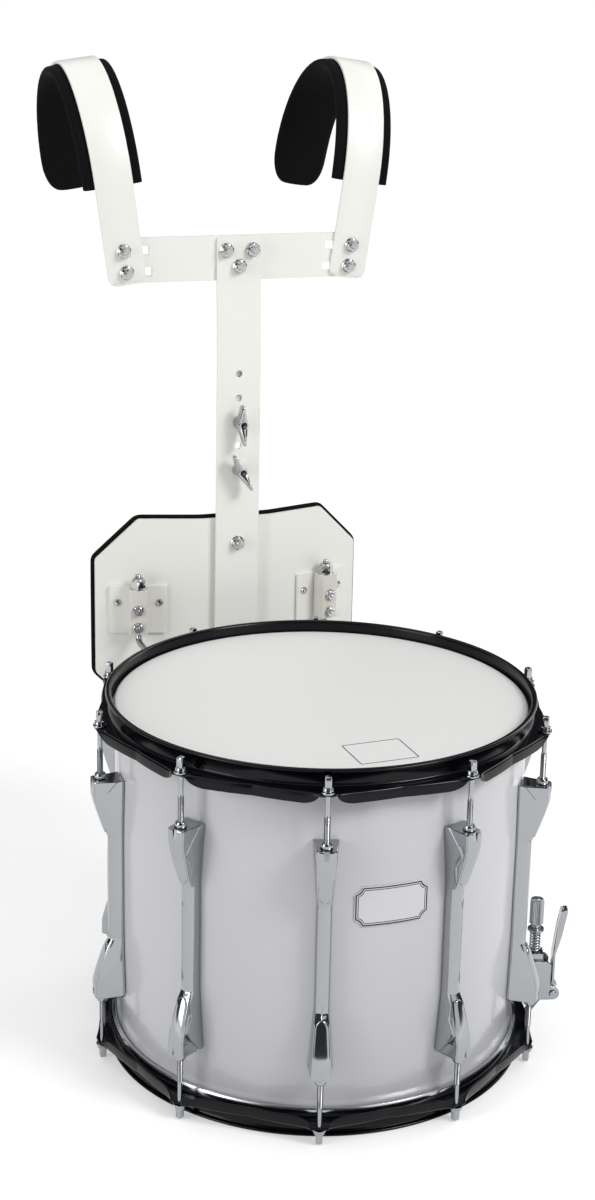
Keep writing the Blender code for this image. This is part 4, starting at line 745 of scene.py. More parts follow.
# Throw-off lever. A cast strip on the strainer's pin, chromed, with a rounded tip. It is curved to a
# finger's reach and windowed in its lower half, so that it closes over the clamp's screw.
LEVER_FOOT = 43.0
LEVER_KNEE = 76.0
LEVER_TIP = 120.9
LEVER_LEAN = 9.6
LEVER_SET_BACK = 1.8
LEVER_BOW = 0.9
LEVER_HALF = 6.6
LEVER_TAPER = 1.9
LEVER_BARREL = 4.4
PIN_BORE = 2.5


def lever_ring(share):
    """One level section of the lever, from its foot at 0 to its tip at 1."""
    height = LEVER_FOOT + (LEVER_TIP - LEVER_FOOT) * share
    lean = max((height - LEVER_KNEE) / (LEVER_TIP - LEVER_KNEE), 0.0)
    shift = min(lean * 1.6, 1.0)
    reach = PIVOT_R + LEVER_LEAN * lean - LEVER_SET_BACK * shift + LEVER_BOW * math.sin(math.pi * lean)
    tip = 1 - max((share - 0.94) / 0.06, 0.0) ** 2
    half = (LEVER_HALF - LEVER_TAPER * min(max((height - 66) / 30, 0.0), 1.0)) * math.sqrt(max(tip, 0.04))
    thick = 1.3 + 1.9 * math.sin(math.pi / 2 * shift) * math.sqrt(max(tip, 0.05))
    ring = [(half, -thick * 0.5), (half, thick * 0.5), (half - 0.5, thick * 0.92), (0, thick),
            (0.5 - half, thick * 0.92), (-half, thick * 0.5), (-half, -thick * 0.5), (0.5 - half, -thick),
            (0, -thick * 0.9), (half - 0.5, -thick)]
    return [(x, -(reach + y), height) for x, y in ring]


blade = carved(lofted([lever_ring(i / 32) for i in range(33)]), box_mesh((-4.7, -220, 48), (4.7, -208, 67.6)))
pin_hole = turned([(0, 8), (PIN_BORE, 8), (PIN_BORE, -8), (0, -8)], 32)
blade = carved(blade, shifted(spun(pin_hole, 90, "Y"), 0, -PIVOT_R, PIVOT_Z))
barrel = slab([arc(PIVOT_R, PIVOT_Z, radius, 0, 352, 44) for radius in (LEVER_BARREL, PIN_BORE)], 13.6,
              OUTWARD)
neck = box_mesh((-6.5, -PIVOT_R - 1.3, LEVER_FOOT - 0.2), (6.5, -PIVOT_R + 1.3, 49))
lever_mesh = carved(carved(barrel, neck, "UNION"), blade, "UNION")
fitted("throw_off_lever", at(lever_mesh, STRAINER), chrome, "strainer_lever", ["strainer_lever"],
       sharp=32, bevel=0.3)


# Sliding block and tension knob. A cast block with the strap's clamp plate and its two small screws,
# and a turned, fluted knob on the tension screw, with a coil spring that stops it working loose.
KNOB_R = 196.7
STRAP_R = 204.8
STRAP_HALF = 7.0
BLOCK_BACK = 188.0
BLOCK_TALL = 34.7
BLOCK_MIDDLE = 59.35
CLAMP_LOW = 42.5
CLAMP_HIGH = 66.0
CLAMP_THICK = 1.6
SCREW_SEAT = STRAP_R + 2.25
FLUTES = 24
FLUTE_STEPS = 6
COIL_R = 4.4
COIL_TURNS = 7
COIL_STEPS = 20
COIL_LOW = 77.6
COIL_TALL = 18.5
FORWARD = Matrix(((1, 0, 0, 0), (0, 0, -1, 0), (0, 1, 0, 0), (0, 0, 0, 1)))
# Satin chrome on cut flutes: one soft grey streak to a flute.
flute_chrome = surface("satin_chrome_knurl", "#A9ABAD", 0.26, 1.0)
# Drawn wire: bright, with a long thin highlight along each turn.
spring_steel = surface("bright_spring_wire", "#B9BCC0", 0.2, 1.0)


def bore(x, y, radius=3.35):
    """A round hole's outline."""
    return arc(x, y, radius, 0, 345, 23)


def swept(route, radius, sides=10):
    """A round wire along a list of points in mm, with closed ends."""
    points = [Vector(p) for p in route]
    turns = [math.tau * k / sides for k in range(sides)]
    rings = []
    side = None
    for i, point in enumerate(points):
        ahead = (points[min(i + 1, len(points) - 1)] - points[max(i - 1, 0)]).normalized()
        side = side or ahead.orthogonal().normalized()
        side = (side - ahead * side.dot(ahead)).normalized()
        across = ahead.cross(side)
        rings.append([point + radius * (math.cos(t) * side + math.sin(t) * across) for t in turns])
    return lofted(rings)


def knob_ring(radius, height, flute):
    """One level section of the grip, its flutes cut to a given depth."""
    ring = []
    for k in range(FLUTES * FLUTE_STEPS):
        t = math.tau * k / (FLUTES * FLUTE_STEPS)
        r = radius - flute * 0.5 * (1 - math.cos(FLUTES * t))
        ring.append((r * math.cos(t), r * math.sin(t) - KNOB_R, height))
    return ring


block_line = rounded(-STRAP_HALF, -STRAP_R + 0.6, STRAP_HALF, -BLOCK_BACK, 1.5)
block_mesh = slab([block_line, bore(0, -KNOB_R, 2.5)], BLOCK_TALL)
clamp_mesh = slab([rounded(-STRAP_HALF, CLAMP_LOW, STRAP_HALF, CLAMP_HIGH, 1.2)], CLAMP_THICK, FORWARD)
slide = joined(shifted(block_mesh, z=BLOCK_MIDDLE), shifted(clamp_mesh, y=-STRAP_R - 0.6 - CLAMP_THICK / 2))
fitted("strainer_slide", at(slide, STRAINER), chrome, "strainer_carriage", ["strainer_carriage"],
       sharp=32, bevel=0.45, segments=3)
clamp_screws = joined(on_front(socket_screw(3.6, 8.4, 1.8, -6.0, 3.4), SCREW_SEAT, 60),
                      on_front(socket_screw(2.4, 1.6, 1.6, -1.7, 2.4), SCREW_SEAT, 53.4))
fitted("clamp_screws", at(clamp_screws, STRAINER), chrome, "strainer_carriage", sharp=30)
grip = lofted([knob_ring(*line) for line in (
    (4.3, 104, 0), (5.7, 104, 0), (6.15, 104.5, 0.4), (6.2, 105, 0.6), (6.2, 126, 0.6), (6.1, 126.7, 0.4),
    (5.6, 127.5, 0), (4.6, 128, 0))])
collar = turned([(0, 104.4), (3.9, 104.4), (3.9, 99.6), (7.2, 99.2), (7.4, 98.8), (7.4, 97.6), (7.2, 97.3),
                 (0, 97.2)], 32)
dimple = turned([(0, 127.9), (2.6, 128.35), (2.9, 128.0), (0, 127.6)], 32)
knob = joined(grip, shifted(collar, y=-KNOB_R), shifted(dimple, y=-KNOB_R))
fitted("tension_knob_grip", at(knob, STRAINER), flute_chrome, "tension_knob", ["tension_knob"],
       sharp=35)
knob_thread = shifted(threaded(2.15, 52, 97.4, 0.8, 0.35), y=-KNOB_R)
fitted("tension_screw", at(knob_thread, STRAINER), thread_chrome, "tension_knob", sharp=25)
coil_count = COIL_TURNS * COIL_STEPS
coil_route = []
for i in range(coil_count + 1):
    t = math.tau * i / COIL_STEPS
    height = COIL_LOW + COIL_TALL * i / coil_count
    coil_route.append((COIL_R * math.cos(t), COIL_R * math.sin(t) - KNOB_R, height))
fitted("knob_spring", at(swept(coil_route, 0.8), STRAINER), spring_steel, "strainer_carriage",
       ["tension_spring"], sharp=60)


# Snares. Coiled steel wires soldered side by side to two brass end plates, close under the lower
# head, and drawn to the strainer and the butt by flat woven straps through the hoop's gates.
# Fewer and coarser coils than on a real drum, so that each one shows.
WIRES = 10
WIRE_STEP = 3.6
WIRE_LONG = 264.0
WIRE_Z = 8.5
END_PLATE = (-18, 131.5, 18, 146)
STRAP_Z = 7.6
BUTT_R = 187.6
RIB = 1.208
# Nickel over brass: a dull, faintly yellow grey.
end_metal = surface("nickelled_end_plate", "#B7B2A4", 0.3, 1.0)
# Woven nylon: matt and off-white, with fine ribs across it.
webbing = surface("woven_nylon_strap", "#CFCFC8", 0.6)
tree = webbing.node_tree
place = node(tree, "ShaderNodeTexCoord").outputs["Object"]
ribs = node(tree, "ShaderNodeTexWave", {"bands_direction": "Z"}, Vector=place, Distortion=0.4,
            Scale=math.tau / 20 / (RIB * MM))
bump = node(tree, "ShaderNodeBump", Strength=0.6, Distance=0.2 * MM, Height=ribs.outputs[1])
tree.links.new(bump.outputs[0], tree.nodes["Principled BSDF"].inputs["Normal"])


def coil_bed(name):
    """Geometry Nodes tree for a bed of parallel wire coils lying along Y."""
    tree, given = rule_tree(name, (("Coils", "Int"), ("Spacing", "Float"), ("Length", "Float"),
                                   ("Coil Radius", "Float"), ("Wire Radius", "Float"), ("Turns", "Float"),
                                   ("Material", "Material")))
    spiral = node(tree, "GeometryNodeCurveSpiral", Resolution=8, Rotations=given["Turns"],
                  Start_Radius=given["Coil Radius"], End_Radius=given["Coil Radius"], Height=given["Length"])
    ring = node(tree, "GeometryNodeCurvePrimitiveCircle", Resolution=4, Radius=given["Wire Radius"])
    wire = node(tree, "GeometryNodeCurveToMesh", Curve=spiral, Profile_Curve=ring)
    laid = node(tree, "GeometryNodeTransform", Geometry=wire, Rotation=(math.radians(90), 0, 0))
    step = node(tree, "ShaderNodeCombineXYZ", X=given["Spacing"])
    line = node(tree, "GeometryNodeMeshLine", Count=given["Coils"], Offset=step)
    copies = node(tree, "GeometryNodeInstanceOnPoints", Points=line, Instance=laid)
    return ended(tree, copies, given["Material"])


def strap_mesh(line):
    """A flat strap, 14 by 0.6 mm, along points of reach from the axis and height."""
    rings = []
    for i, (reach, height) in enumerate(line):
        ahead = Vector(line[min(i + 1, len(line) - 1)]) - Vector(line[max(i - 1, 0)])
        out = Vector((ahead.y, -ahead.x)).normalized() * 0.3
        rings.append([(x, -(reach + out.x * sign), height + out.y * sign) for x, sign in
                      ((6.9, 1), (7.0, 0), (6.9, -1), (0, -1), (-6.9, -1), (-7.0, 0), (-6.9, 1), (0, 1))])
    return lofted(rings)


wires = baked(bpy.data.meshes.new("empty"), coil_bed("snare_coils"), Coils=WIRES, Spacing=WIRE_STEP * MM,
              Length=WIRE_LONG * MM, Coil_Radius=0.62 * MM, Wire_Radius=0.2 * MM, Turns=130.0,
              Material=spring_steel)
wires = shifted(wires, -WIRE_STEP * (WIRES - 1) / 2, WIRE_LONG / 2, WIRE_Z)
fitted("snare_coils", at(wires, STRAINER), spring_steel, "drum", ["snare_wires"], sharp=70)
end_plate = slab([rounded(*END_PLATE, 1.0)], 0.8)
end_plates = shifted(joined(end_plate, spun(end_plate, 180)), z=WIRE_Z)
fitted("snare_end_plates", at(end_plates, STRAINER), end_metal, "drum", sharp=30)
strap_start = [(132, STRAP_Z), (150, STRAP_Z), (175, STRAP_Z), (184.2, STRAP_Z), (186.7, 8.2), (188.4, 9.6),
               (189.4, 11.7)]
strainer_end = [(191.4, 14.2), (194.6, 19), (198.0, 24), (201.4, 29), (203.6, 32.2), (204.5, 33.7),
                (STRAP_R, 35.4), (STRAP_R, 42), (STRAP_R, 49)]
butt_end = [(189.7, 14.2), (189.7, 19), (189.6, 24), (189.0, 28), (188.3, 32), (187.8, 35.4), (BUTT_R, 38),
            (BUTT_R, 42), (BUTT_R, 49)]
for side, place, strap_end in (("strainer", STRAINER, strainer_end), ("butt", BUTT, butt_end)):
    fitted(f"snare_strap_{side}_web", at(strap_mesh(strap_start + strap_end), place), webbing, "drum",
           [f"snare_strap_{side}"], sharp=50)


# Butt. A plain cast block opposite the strainer, chromed and screwed to the shell; its clamp plate
# and two screws grip the strap.
BUTT_FACE = BUTT_R - 0.6
BUTT_LOW = 31.0
BUTT_TOP = 62.0
GRIP_PLATE = (-13, 37, 13, 59)
butt_side = [(BASE_BACK, BUTT_LOW), (BUTT_FACE - 2.8, 32.5), (BUTT_FACE, 35), (BUTT_FACE, 57),
             (BUTT_FACE - 2.4, 59), (BASE_BACK + 3, BUTT_TOP), (BASE_BACK, BUTT_TOP)]
grip_plate = slab([rounded(*GRIP_PLATE, 2.0)], CLAMP_THICK, FORWARD)
butt_mesh = joined(slab([butt_side], 26, OUTWARD), shifted(grip_plate, y=-BUTT_R - 0.6 - CLAMP_THICK / 2))
fitted("butt_casting", at(butt_mesh, BUTT), chrome, "drum", ["butt_block"],
       sharp=32, bevel=0.6, segments=3)
grip_screw = on_front(socket_screw(4.0, 2.4, 2.0, -8.0, 4.4), BUTT_R + 2.2, 53.5)
grip_screws = joined(shifted(grip_screw, -6.5), shifted(grip_screw, 6.5))
fitted("butt_screws", at(grip_screws, BUTT), chrome, "drum", sharp=30)


# Carrier bars. Mild steel flat, 3 mm, pierced, joggled and powder coated warm white, which leaves
# soft edges and a faint orange peel: the spine, the slotted upright behind it, and the crossbar.
PLATE = 3.0
GAP = 0.3
SPINE_FRONT = 243.0
SPINE_LOW = 291.0
SPINE_HIGH = 675.0
SPINE_HALF = 21.0
BOLT_LOW = 385.5
STUD_LOW = 457.4
HOLE_STEP = 22.75
STUD_HIGH = STUD_LOW + 2 * HOLE_STEP
JOG = math.tan(math.radians(3.0))
JOG_START = 568.0
JOG_END = 630.0
UPRIGHT_LOW = 232.0
UPRIGHT_HIGH = 566.0
UPRIGHT_HALF = 19.0
UPRIGHT_BEND = 522.5
SLOT_LOW = 340.0
SLOT_HALF = 3.45
BAR_FRONT = SPINE_FRONT + PLATE + (JOG_END - JOG_START) * JOG + GAP
BAR_HALF = 121.0
BAR_LOW = 635.0
BAR_HIGH = 676.0
HOOK_FOOT = (104.6, 634.0)
LEAN = math.radians(8.0)
HOOK_HOLES = (11.4, 30.8)
SQUARE_STEP = 20.5
SQUARE_HALF = 4.0
BAR_BOLTS = [(-12.6, 662.9), (12.6, 662.9), (0.0, 647.9)]
HOOK_BOLTS = [(side * (HOOK_FOOT[0] + up * math.sin(LEAN)), HOOK_FOOT[1] + up * math.cos(LEAN))
              for side in (-1, 1) for up in HOOK_HOLES]
# Powder coat: warm white and half glossy, with the faint orange peel of baked powder, 1.1 mm apart.
coat = surface("powder_coat", "#E8E8E3", 0.36, grain=(1.1, 0.02, 2.0), Coat_Weight=0.12, Coat_Roughness=0.2)


def ramp(value, start, soft=3.0):
    """How far a point lies past a fold line, eased round the bend."""
    over = value - start
    if abs(over) < soft:
        return (over + soft) ** 2 / (4 * soft)
    return max(over, 0.0)


def folded(mesh, axis, cuts, rule):
    """Bend a plate: cut it at stations along an axis, then move each point back by a rule, in mm."""
    work = sliced(mesh, axis, cuts)
    for vertex in work.verts:
        vertex.co.y += rule(vertex.co[axis] / MM) * MM
    return kept(work, "bent")


def plate(outlines, front):
    """A 3 mm plate with its front face at a given distance behind the drum's axis."""
    return shifted(slab(outlines, PLATE, FORWARD), y=front + PLATE / 2)


def bar_fitted(name, mesh, body, replaced):
    """A coated sheet piece with its sheared edges broken."""
    fitted(name, mesh, coat, body, [replaced], sharp=30, bevel=0.4, segments=3)


spine_holes = [bore(0, z) for z in [BOLT_LOW] + [STUD_LOW + HOLE_STEP * k for k in range(5)]]
spine_holes += [bore(x, z) for x, z in BAR_BOLTS]
spine_cuts = [fold + d for fold in (JOG_START, JOG_END) for d in (-3, -1, 1, 3)]
spine_flat = plate([rounded(-SPINE_HALF, SPINE_LOW, SPINE_HALF, SPINE_HIGH, 2.5)] + spine_holes, SPINE_FRONT)
spine_mesh = folded(spine_flat, 2, spine_cuts, lambda z: JOG * (ramp(z, JOG_START) - ramp(z, JOG_END)))
bar_fitted("spine_bar", spine_mesh, "t_bar", "spine")
slot_line = arc(0, STUD_HIGH, SLOT_HALF, 0, 180, 12) + arc(0, SLOT_LOW, SLOT_HALF, 180, 360, 12)
upright_line = rounded(-UPRIGHT_HALF, UPRIGHT_LOW, UPRIGHT_HALF, UPRIGHT_HIGH, 2.5)
upright_flat = plate([upright_line, slot_line], SPINE_FRONT + PLATE + GAP)
upright_mesh = folded(upright_flat, 2, [UPRIGHT_BEND + d for d in (-3, -1, 1, 3)],
                      lambda z: JOG * ramp(z, UPRIGHT_BEND))
bar_fitted("upright_bar", upright_mesh, "carrier", "rear_upright")
bar_holes = [bore(x, z) for x, z in BAR_BOLTS + HOOK_BOLTS]
for x, z in HOOK_BOLTS:
    inner = x - math.copysign(SQUARE_STEP, x)
    bar_holes.append(rounded(inner - SQUARE_HALF, z - SQUARE_HALF, inner + SQUARE_HALF, z + SQUARE_HALF,
                             0.5, 3))
bar_mesh = plate([rounded(-BAR_HALF, BAR_LOW, BAR_HALF, BAR_HIGH, 3.5)] + bar_holes, BAR_FRONT)
bar_fitted("crossbar_flat", bar_mesh, "t_bar", "crossbar")


# Carrier fasteners. Zinc-plated steel: round-headed carriage bolts from behind, with flanged
# hexagon nuts in front. The two height studs have wing nuts instead.
REAR = SPINE_FRONT + 2 * PLATE + 0.5
STUD_TIP = 236.0
BOLT_TIP = 233.4
# Bright zinc: a paler and softer mirror than chrome, with strong darks on its flats.
zinc = surface("bright_zinc_plate", "#B7B8B8", 0.13, 1.0, grain=(4.0, 0.01, 2.0))


def hexed(across, low, high, hole, flange=0.0):
    """A hexagon nut with chamfered corners, and a flange at its seat if one is given."""
    corner = across / 2 / math.cos(math.radians(30))
    if flange:
        stations = [(low, hole), (low, flange), (low + 0.8, flange), (low + 1.7, corner - 0.1)]
    else:
        stations = [(low, hole), (low, corner - 0.35), (low + 0.35, corner)]
    stations += [(low + 1.9, corner), (high - 0.75, corner), (high - 0.35, corner - 0.4),
                 (high, across * 0.47), (high, hole + 0.5), (high - 0.5, hole)]
    rings = []
    for height, limit in stations:
        ring = []
        for degrees in [7.5 * k for k in range(48)]:
            flat = across / 2 / math.cos(math.radians((degrees + 30) % 60 - 30))
            r = limit if limit > corner else min(flat, limit)
            turn = math.radians(degrees)
            ring.append((r * math.cos(turn), r * math.sin(turn), height))
        rings.append(ring)
    return lofted(rings, closed=True)


def fastener_tree(name):
    """Geometry Nodes tree that puts one fastener at each point, every one stopped at its own angle."""
    tree, given = rule_tree(name, (("Piece", "Object"), ("Seed", "Int"), ("Material", "Material")))
    sample = node(tree, "GeometryNodeObjectInfo", Object=given["Piece"]).outputs["Geometry"]
    turn = node(tree, "FunctionNodeRandomValue", {"data_type": "FLOAT"}, i2=0.0, i3=math.tau,
                i8=given["Seed"]).outputs[1]
    spin = node(tree, "ShaderNodeCombineXYZ", Y=turn)
    copies = node(tree, "GeometryNodeInstanceOnPoints", Points=given["Geometry"], Instance=sample,
                  Rotation=spin)
    return ended(tree, copies, given["Material"])


fasten = fastener_tree("fasteners_at_points")


def bolted(mesh, places, seed, material):
    """A fastener that stands along +Z, turned to the front and repeated at (x, y, z) places in mm."""
    points = bpy.data.meshes.new("places")
    points.from_pydata([Vector(p) * MM for p in places], [], [])
    sample = added("sample", spun(mesh, 90, "X"))
    result = baked(points, fasten, Piece=sample, Seed=seed, Material=material)
    bpy.data.objects.remove(sample, do_unlink=True)
    return result


def stud_end(radius, low, high):
    """Threaded rod with a chamfered tip."""
    tip = turned([(0, high - 0.7), (radius - 0.4, high - 0.7), (radius - 0.75, high), (0, high)], 20)
    return joined(threaded(radius, low, high - 0.6, 1.0, 0.42), tip)


dome = turned([(0, -2.1), (2.6, -1.95), (4.9, -1.2), (6.0, -0.3), (6.2, 0), (0, 0)], 32)
bar_nut = joined(hexed(11, 0, 5.1, 2.6, 6.6), stud_end(3.0, -7, 9.7))
bar_places = [(x, BAR_FRONT - 3.4, z) for x, z in BAR_BOLTS + HOOK_BOLTS]
dome_places = [(x, BAR_FRONT + PLATE, z) for x, z in BAR_BOLTS + HOOK_BOLTS]
fitted("crossbar_nuts", bolted(bar_nut, bar_places, 4, zinc), zinc, "t_bar", sharp=28)
fitted("crossbar_bolt_heads", bolted(dome, dome_places, 5, zinc), zinc, "t_bar", sharp=40)
stud_parts = [bolted(dome, [(0, REAR, z) for z in (BOLT_LOW, STUD_LOW, STUD_HIGH)], 6, zinc),
              bolted(stud_end(3.0, 0, REAR - STUD_TIP), [(0, REAR, z) for z in (STUD_LOW, STUD_HIGH)], 7, zinc),
              bolted(stud_end(3.0, 0, REAR - BOLT_TIP), [(0, REAR, BOLT_LOW)], 8, zinc),
              bolted(hexed(11, 0, 4.9, 2.6, 6.6), [(0, SPINE_FRONT, BOLT_LOW)], 9, zinc)]
fitted("height_studs", joined(*stud_parts), zinc, "t_bar", sharp=28)


# Wing nuts. Cast in one piece with a hollow hub and two wings, threaded through and zinc plated;
# each stands where it was last tightened by hand.
WING_SPAN = 19.5
WING_TIP = 0.84


def wing_ring(along):
    """One upright section of the pair of wings: thick at the hub, thin and rounded at the tip."""
    share = abs(along) / WING_SPAN
    half = 4.2 * (1 - share) ** 1.4 + 1.4
    low = 1.2 + 7.5 * share ** 0.8
    high = 16.2 + 3.6 * math.sin(min(share / 0.8, 1.0) * math.pi / 2)
    if share > WING_TIP:
        tip = math.sqrt(max(1 - ((share - WING_TIP) / (1 - WING_TIP)) ** 2, 0.03))
        middle = (low + high) / 2 + 1.6
        low, high = middle - (middle - low) * tip, middle + (high - middle) * tip
        half *= tip ** 0.5
    ring = []
    for turn in [math.tau * k / 20 for k in range(20)]:
        x = half * math.copysign(abs(math.cos(turn)) ** 0.7, math.cos(turn))
        z = (low + high) / 2 + (high - low) / 2 * math.copysign(abs(math.sin(turn)) ** 0.7, math.sin(turn))
        ring.append((along, x, z))
    return ring


wing_blades = lofted([wing_ring(WING_SPAN * i / 24) for i in range(-24, 25)])
hub = turned([(0, 0), (6.0, 0), (6.0, 0.9), (5.2, 2.2), (4.9, 9.0), (4.6, 16.2), (4.2, 16.9), (0, 16.9)], 40)
thread_hole = turned([(0, 18), (3.3, 18), (3.1, 16.2), (3.05, -1), (0, -1)], 32)
wing_mesh = carved(carved(hub, wing_blades, "UNION"), thread_hole)
for name, height, turn in (("upper", STUD_HIGH, 3.0), ("lower", STUD_LOW, 27.0)):
    wing = shifted(spun(spun(wing_mesh, 90.0 + turn), 90, "X"), 0, SPINE_FRONT - 0.3, height)
    fitted(f"wing_nut_{name}_casting", wing, zinc, f"wing_nut_{name}", [f"wing_nut_{name}"], sharp=34,
           bevel=0.3)


# Belly plate. The same coated sheet with its corners cut and both wings folded back 15 degrees, and
# a notch for the lowest bolt. It is fixed flat against the back of the upright.
BELLY_FRONT = SPINE_FRONT + 2 * PLATE + 0.6
BELLY_HALF = 131.0
BELLY_LOW = 216.0
BELLY_HIGH = 409.0
BELLY_CLIP = 39.7
WING = math.tan(math.radians(15.0))
WING_START = 34.0
NOTCH_HALF = 7.3
NOTCH_LOW = 340.0


def eased(points, size, steps=4):
    """Round the corners of an outline."""
    result = []
    for i, point in enumerate(points):
        here = Vector(point)
        back = Vector(points[i - 1]) - here
        ahead = Vector(points[(i + 1) % len(points)]) - here
        near = here + back.normalized() * min(size, back.length / 2)
        far = here + ahead.normalized() * min(size, ahead.length / 2)
        for t in [k / steps for k in range(steps + 1)]:
            spot = near * (1 - t) ** 2 + here * 2 * t * (1 - t) + far * t ** 2
            result.append((spot.x, spot.y))
    return result


def belly_outline(lap):
    """The plate's eight corners, from the lower right, or those of a piece that laps over its edge."""
    x = BELLY_HALF + lap
    low = BELLY_LOW - lap
    high = BELLY_HIGH + lap
    clip = BELLY_CLIP + lap * 0.6
    right = [(x - clip, low), (x, low + clip), (x, high - clip), (x - clip, high)]
    return right + [(-a, b) for a, b in reversed(right)]


def wing_rule(x):
    """How far back the folded wings lie at a distance from the middle."""
    return WING * ramp(abs(x), WING_START, 4.0)


wing_cuts = [side * (WING_START + d) for side in (-1, 1) for d in (-4, -2, 0, 2, 4)]
notch = [(NOTCH_HALF, BELLY_HIGH)] + arc(0, NOTCH_LOW, NOTCH_HALF, 0, -180, 12) + [(-NOTCH_HALF, BELLY_HIGH)]
belly_line = eased(belly_outline(0), 2.5)
middle = len(belly_line) // 2
belly_line = belly_line[:middle] + eased(notch, 1.5) + belly_line[middle:]
belly_mesh = folded(plate([belly_line], BELLY_FRONT), 0, wing_cuts, wing_rule)
bar_fitted("belly_plate_sheet", belly_mesh, "carrier", "belly_plate")


# Clamp brackets and J rods. On each wing a coated plate carries a cast block, whose two nuts pinch a
# plated steel rod. The rod is bent to a hook that goes under the upper hoop.
BRACKET_X = 91.5
BRACKET_HALF = 27.5
BRACKET_LOW = 297.0
BRACKET_TOP = 344.6
BLOCK_HALF = 9.0
BLOCK_FRONT = GAP + PLATE + 16.4
BLOCK_HIGH = 43.4
BLOCK_Z = 322.3
BLOCK_TOP = 344.0
CLAMP_NUTS = (324.6, 307.3)
SCREW_AT = (20.0, 327.6)
J_OUT = BLOCK_FRONT - 8.2
J_R = 3.0
J_LOW = 291.0
J_TOP = 358.0
HOOK_TOP = 308.0
J_BEND_FRONT = 6.5
J_BEND_TIP = 9.0
# Coated casting: a warmer and flatter white than the sheet.
block_paint = surface("coated_clamp_block", "#D5D1CA", 0.42, grain=(1.1, 0.02, 2.0))
# Plated round bar: one clean narrow highlight along the rod.
rod_steel = surface("plated_round_bar", "#B0B2B5", 0.17, 1.0)
bracket_plate = plate([rounded(-BRACKET_HALF, BRACKET_LOW, BRACKET_HALF, BRACKET_TOP, 1.8)], -GAP - PLATE)
clamp_line = rounded(-BLOCK_HALF, -BLOCK_FRONT, BLOCK_HALF, -GAP - PLATE, 2.2)
clamp_block = shifted(slab([clamp_line, bore(0, -J_OUT)], BLOCK_HIGH), z=BLOCK_Z)
clamp_nut = joined(hexed(9.0, 0, 3.9, 1.8, 5.2), stud_end(2.2, -4, 6.9))
nut_insert = turned([(3.35, 7.6), (6.0, 7.6), (5.9, 9.2), (5.2, 10.2), (4.4, 10.6), (3.35, 10.6)], 32,
                    closed=True)
top_nut = shifted(joined(hexed(13.0, 0, 8.2, 3.35, 8.1), nut_insert), 0, -J_OUT, BLOCK_TOP)
screw_dome = turned([(0, 2.4), (1.4, 2.35), (2.7, 1.8), (3.4, 0.8), (3.5, 0), (0, 0)], 32)
recess = joined(box_mesh((-1.9, -0.45, 1.1), (1.9, 0.45, 4)), box_mesh((-0.45, -1.9, 1.1), (0.45, 1.9, 4)))
cross_screw = carved(screw_dome, recess)
screw_places = [(side * SCREW_AT[0], -GAP - PLATE, SCREW_AT[1]) for side in (-1, 1)]
bracket_bits = joined(bolted(clamp_nut, [(0, -BLOCK_FRONT, z) for z in CLAMP_NUTS], 2, zinc),
                      bolted(cross_screw, screw_places, 3, zinc), top_nut)
for side, name in ((-1, "left"), (1, "right")):
    wing_front = BELLY_FRONT + WING * (BRACKET_X - WING_START)
    on_wing = Matrix.Translation(Vector((side * BRACKET_X, wing_front, 0)) * MM)
    on_wing = on_wing @ Matrix.Rotation(side * math.radians(15), 4, "Z")
    bar_fitted(f"bracket_{name}_plate", at(bracket_plate, on_wing), "carrier", f"bracket_{name}")
    fitted(f"bracket_{name}_block", at(clamp_block, on_wing), block_paint, "carrier", sharp=30,
           bevel=0.7, segments=3)
    fitted(f"bracket_{name}_fasteners", at(bracket_bits, on_wing), zinc, "carrier", sharp=28)
    axis = on_wing @ Vector((0, -J_OUT * MM, 0)) / MM
    hook_low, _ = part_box(f"j_rod_{name}")
    tip = (hook_low.y - AXIS.translation.y) / MM - axis.y + J_R
    front_bend = arc(-J_BEND_FRONT, J_LOW + J_BEND_FRONT, J_BEND_FRONT, 0, -90, 10)
    tip_bend = arc(tip + J_BEND_TIP, J_LOW + J_BEND_TIP, J_BEND_TIP, -90, -180, 10)
    route = [(0, J_TOP - 6), (0, 302)] + front_bend + tip_bend + [(tip, HOOK_TOP - 0.8), (tip, HOOK_TOP)]
    bar = joined(swept([(0, y, z) for y, z in route], J_R, 20), stud_end(2.95, BLOCK_TOP, J_TOP))
    fitted(f"j_rod_{name}_bar", shifted(bar, axis.x, axis.y), rod_steel, f"j_rod_{name}",
           [f"j_rod_{name}"], sharp=30)


# Shoulder hooks. Steel strap bent over the shoulders and leaned outwards, coated like the bars,
# with square-cut feet on rounded corners that are bolted in front of the crossbar.
HOOK_FRONT = BAR_FRONT - GAP - PLATE / 2
HOOK_HALF = 17.5
FOOT_CORNER = 8.0
RISE = 90.0
ARCH = 104.0
SPAN_FRONT = 79.0
SPAN_BACK = 101.0
TAIL = 18.0


def strap_frame(along):
    """Point and outward direction on the strap's middle, in its own Y and height.

    The strap rises from 0 to 1, arches from 1 to 3 and hangs down from there on.
    """
    if along <= 1:
        return Vector((0, RISE * along)), Vector((-1, 0))
    if along <= 3:
        turn = math.pi - (along - 1) * math.pi / 2
        span = SPAN_FRONT if along <= 2 else SPAN_BACK
        point = Vector((SPAN_FRONT + span * math.cos(turn), RISE + ARCH * math.sin(turn)))
        return point, Vector((math.cos(turn) / span, math.sin(turn) / ARCH)).normalized()
    return Vector((SPAN_FRONT + SPAN_BACK, RISE - TAIL * (along - 3))), Vector((1, 0))


def leaned(mesh, side):
    """Lay a shoulder piece at its foot and lean it outwards."""
    foot = Matrix.Translation(Vector((side * HOOK_FOOT[0], HOOK_FRONT, HOOK_FOOT[1])) * MM)
    return at(mesh, foot @ Matrix.Rotation(side * LEAN, 4, "Y"))


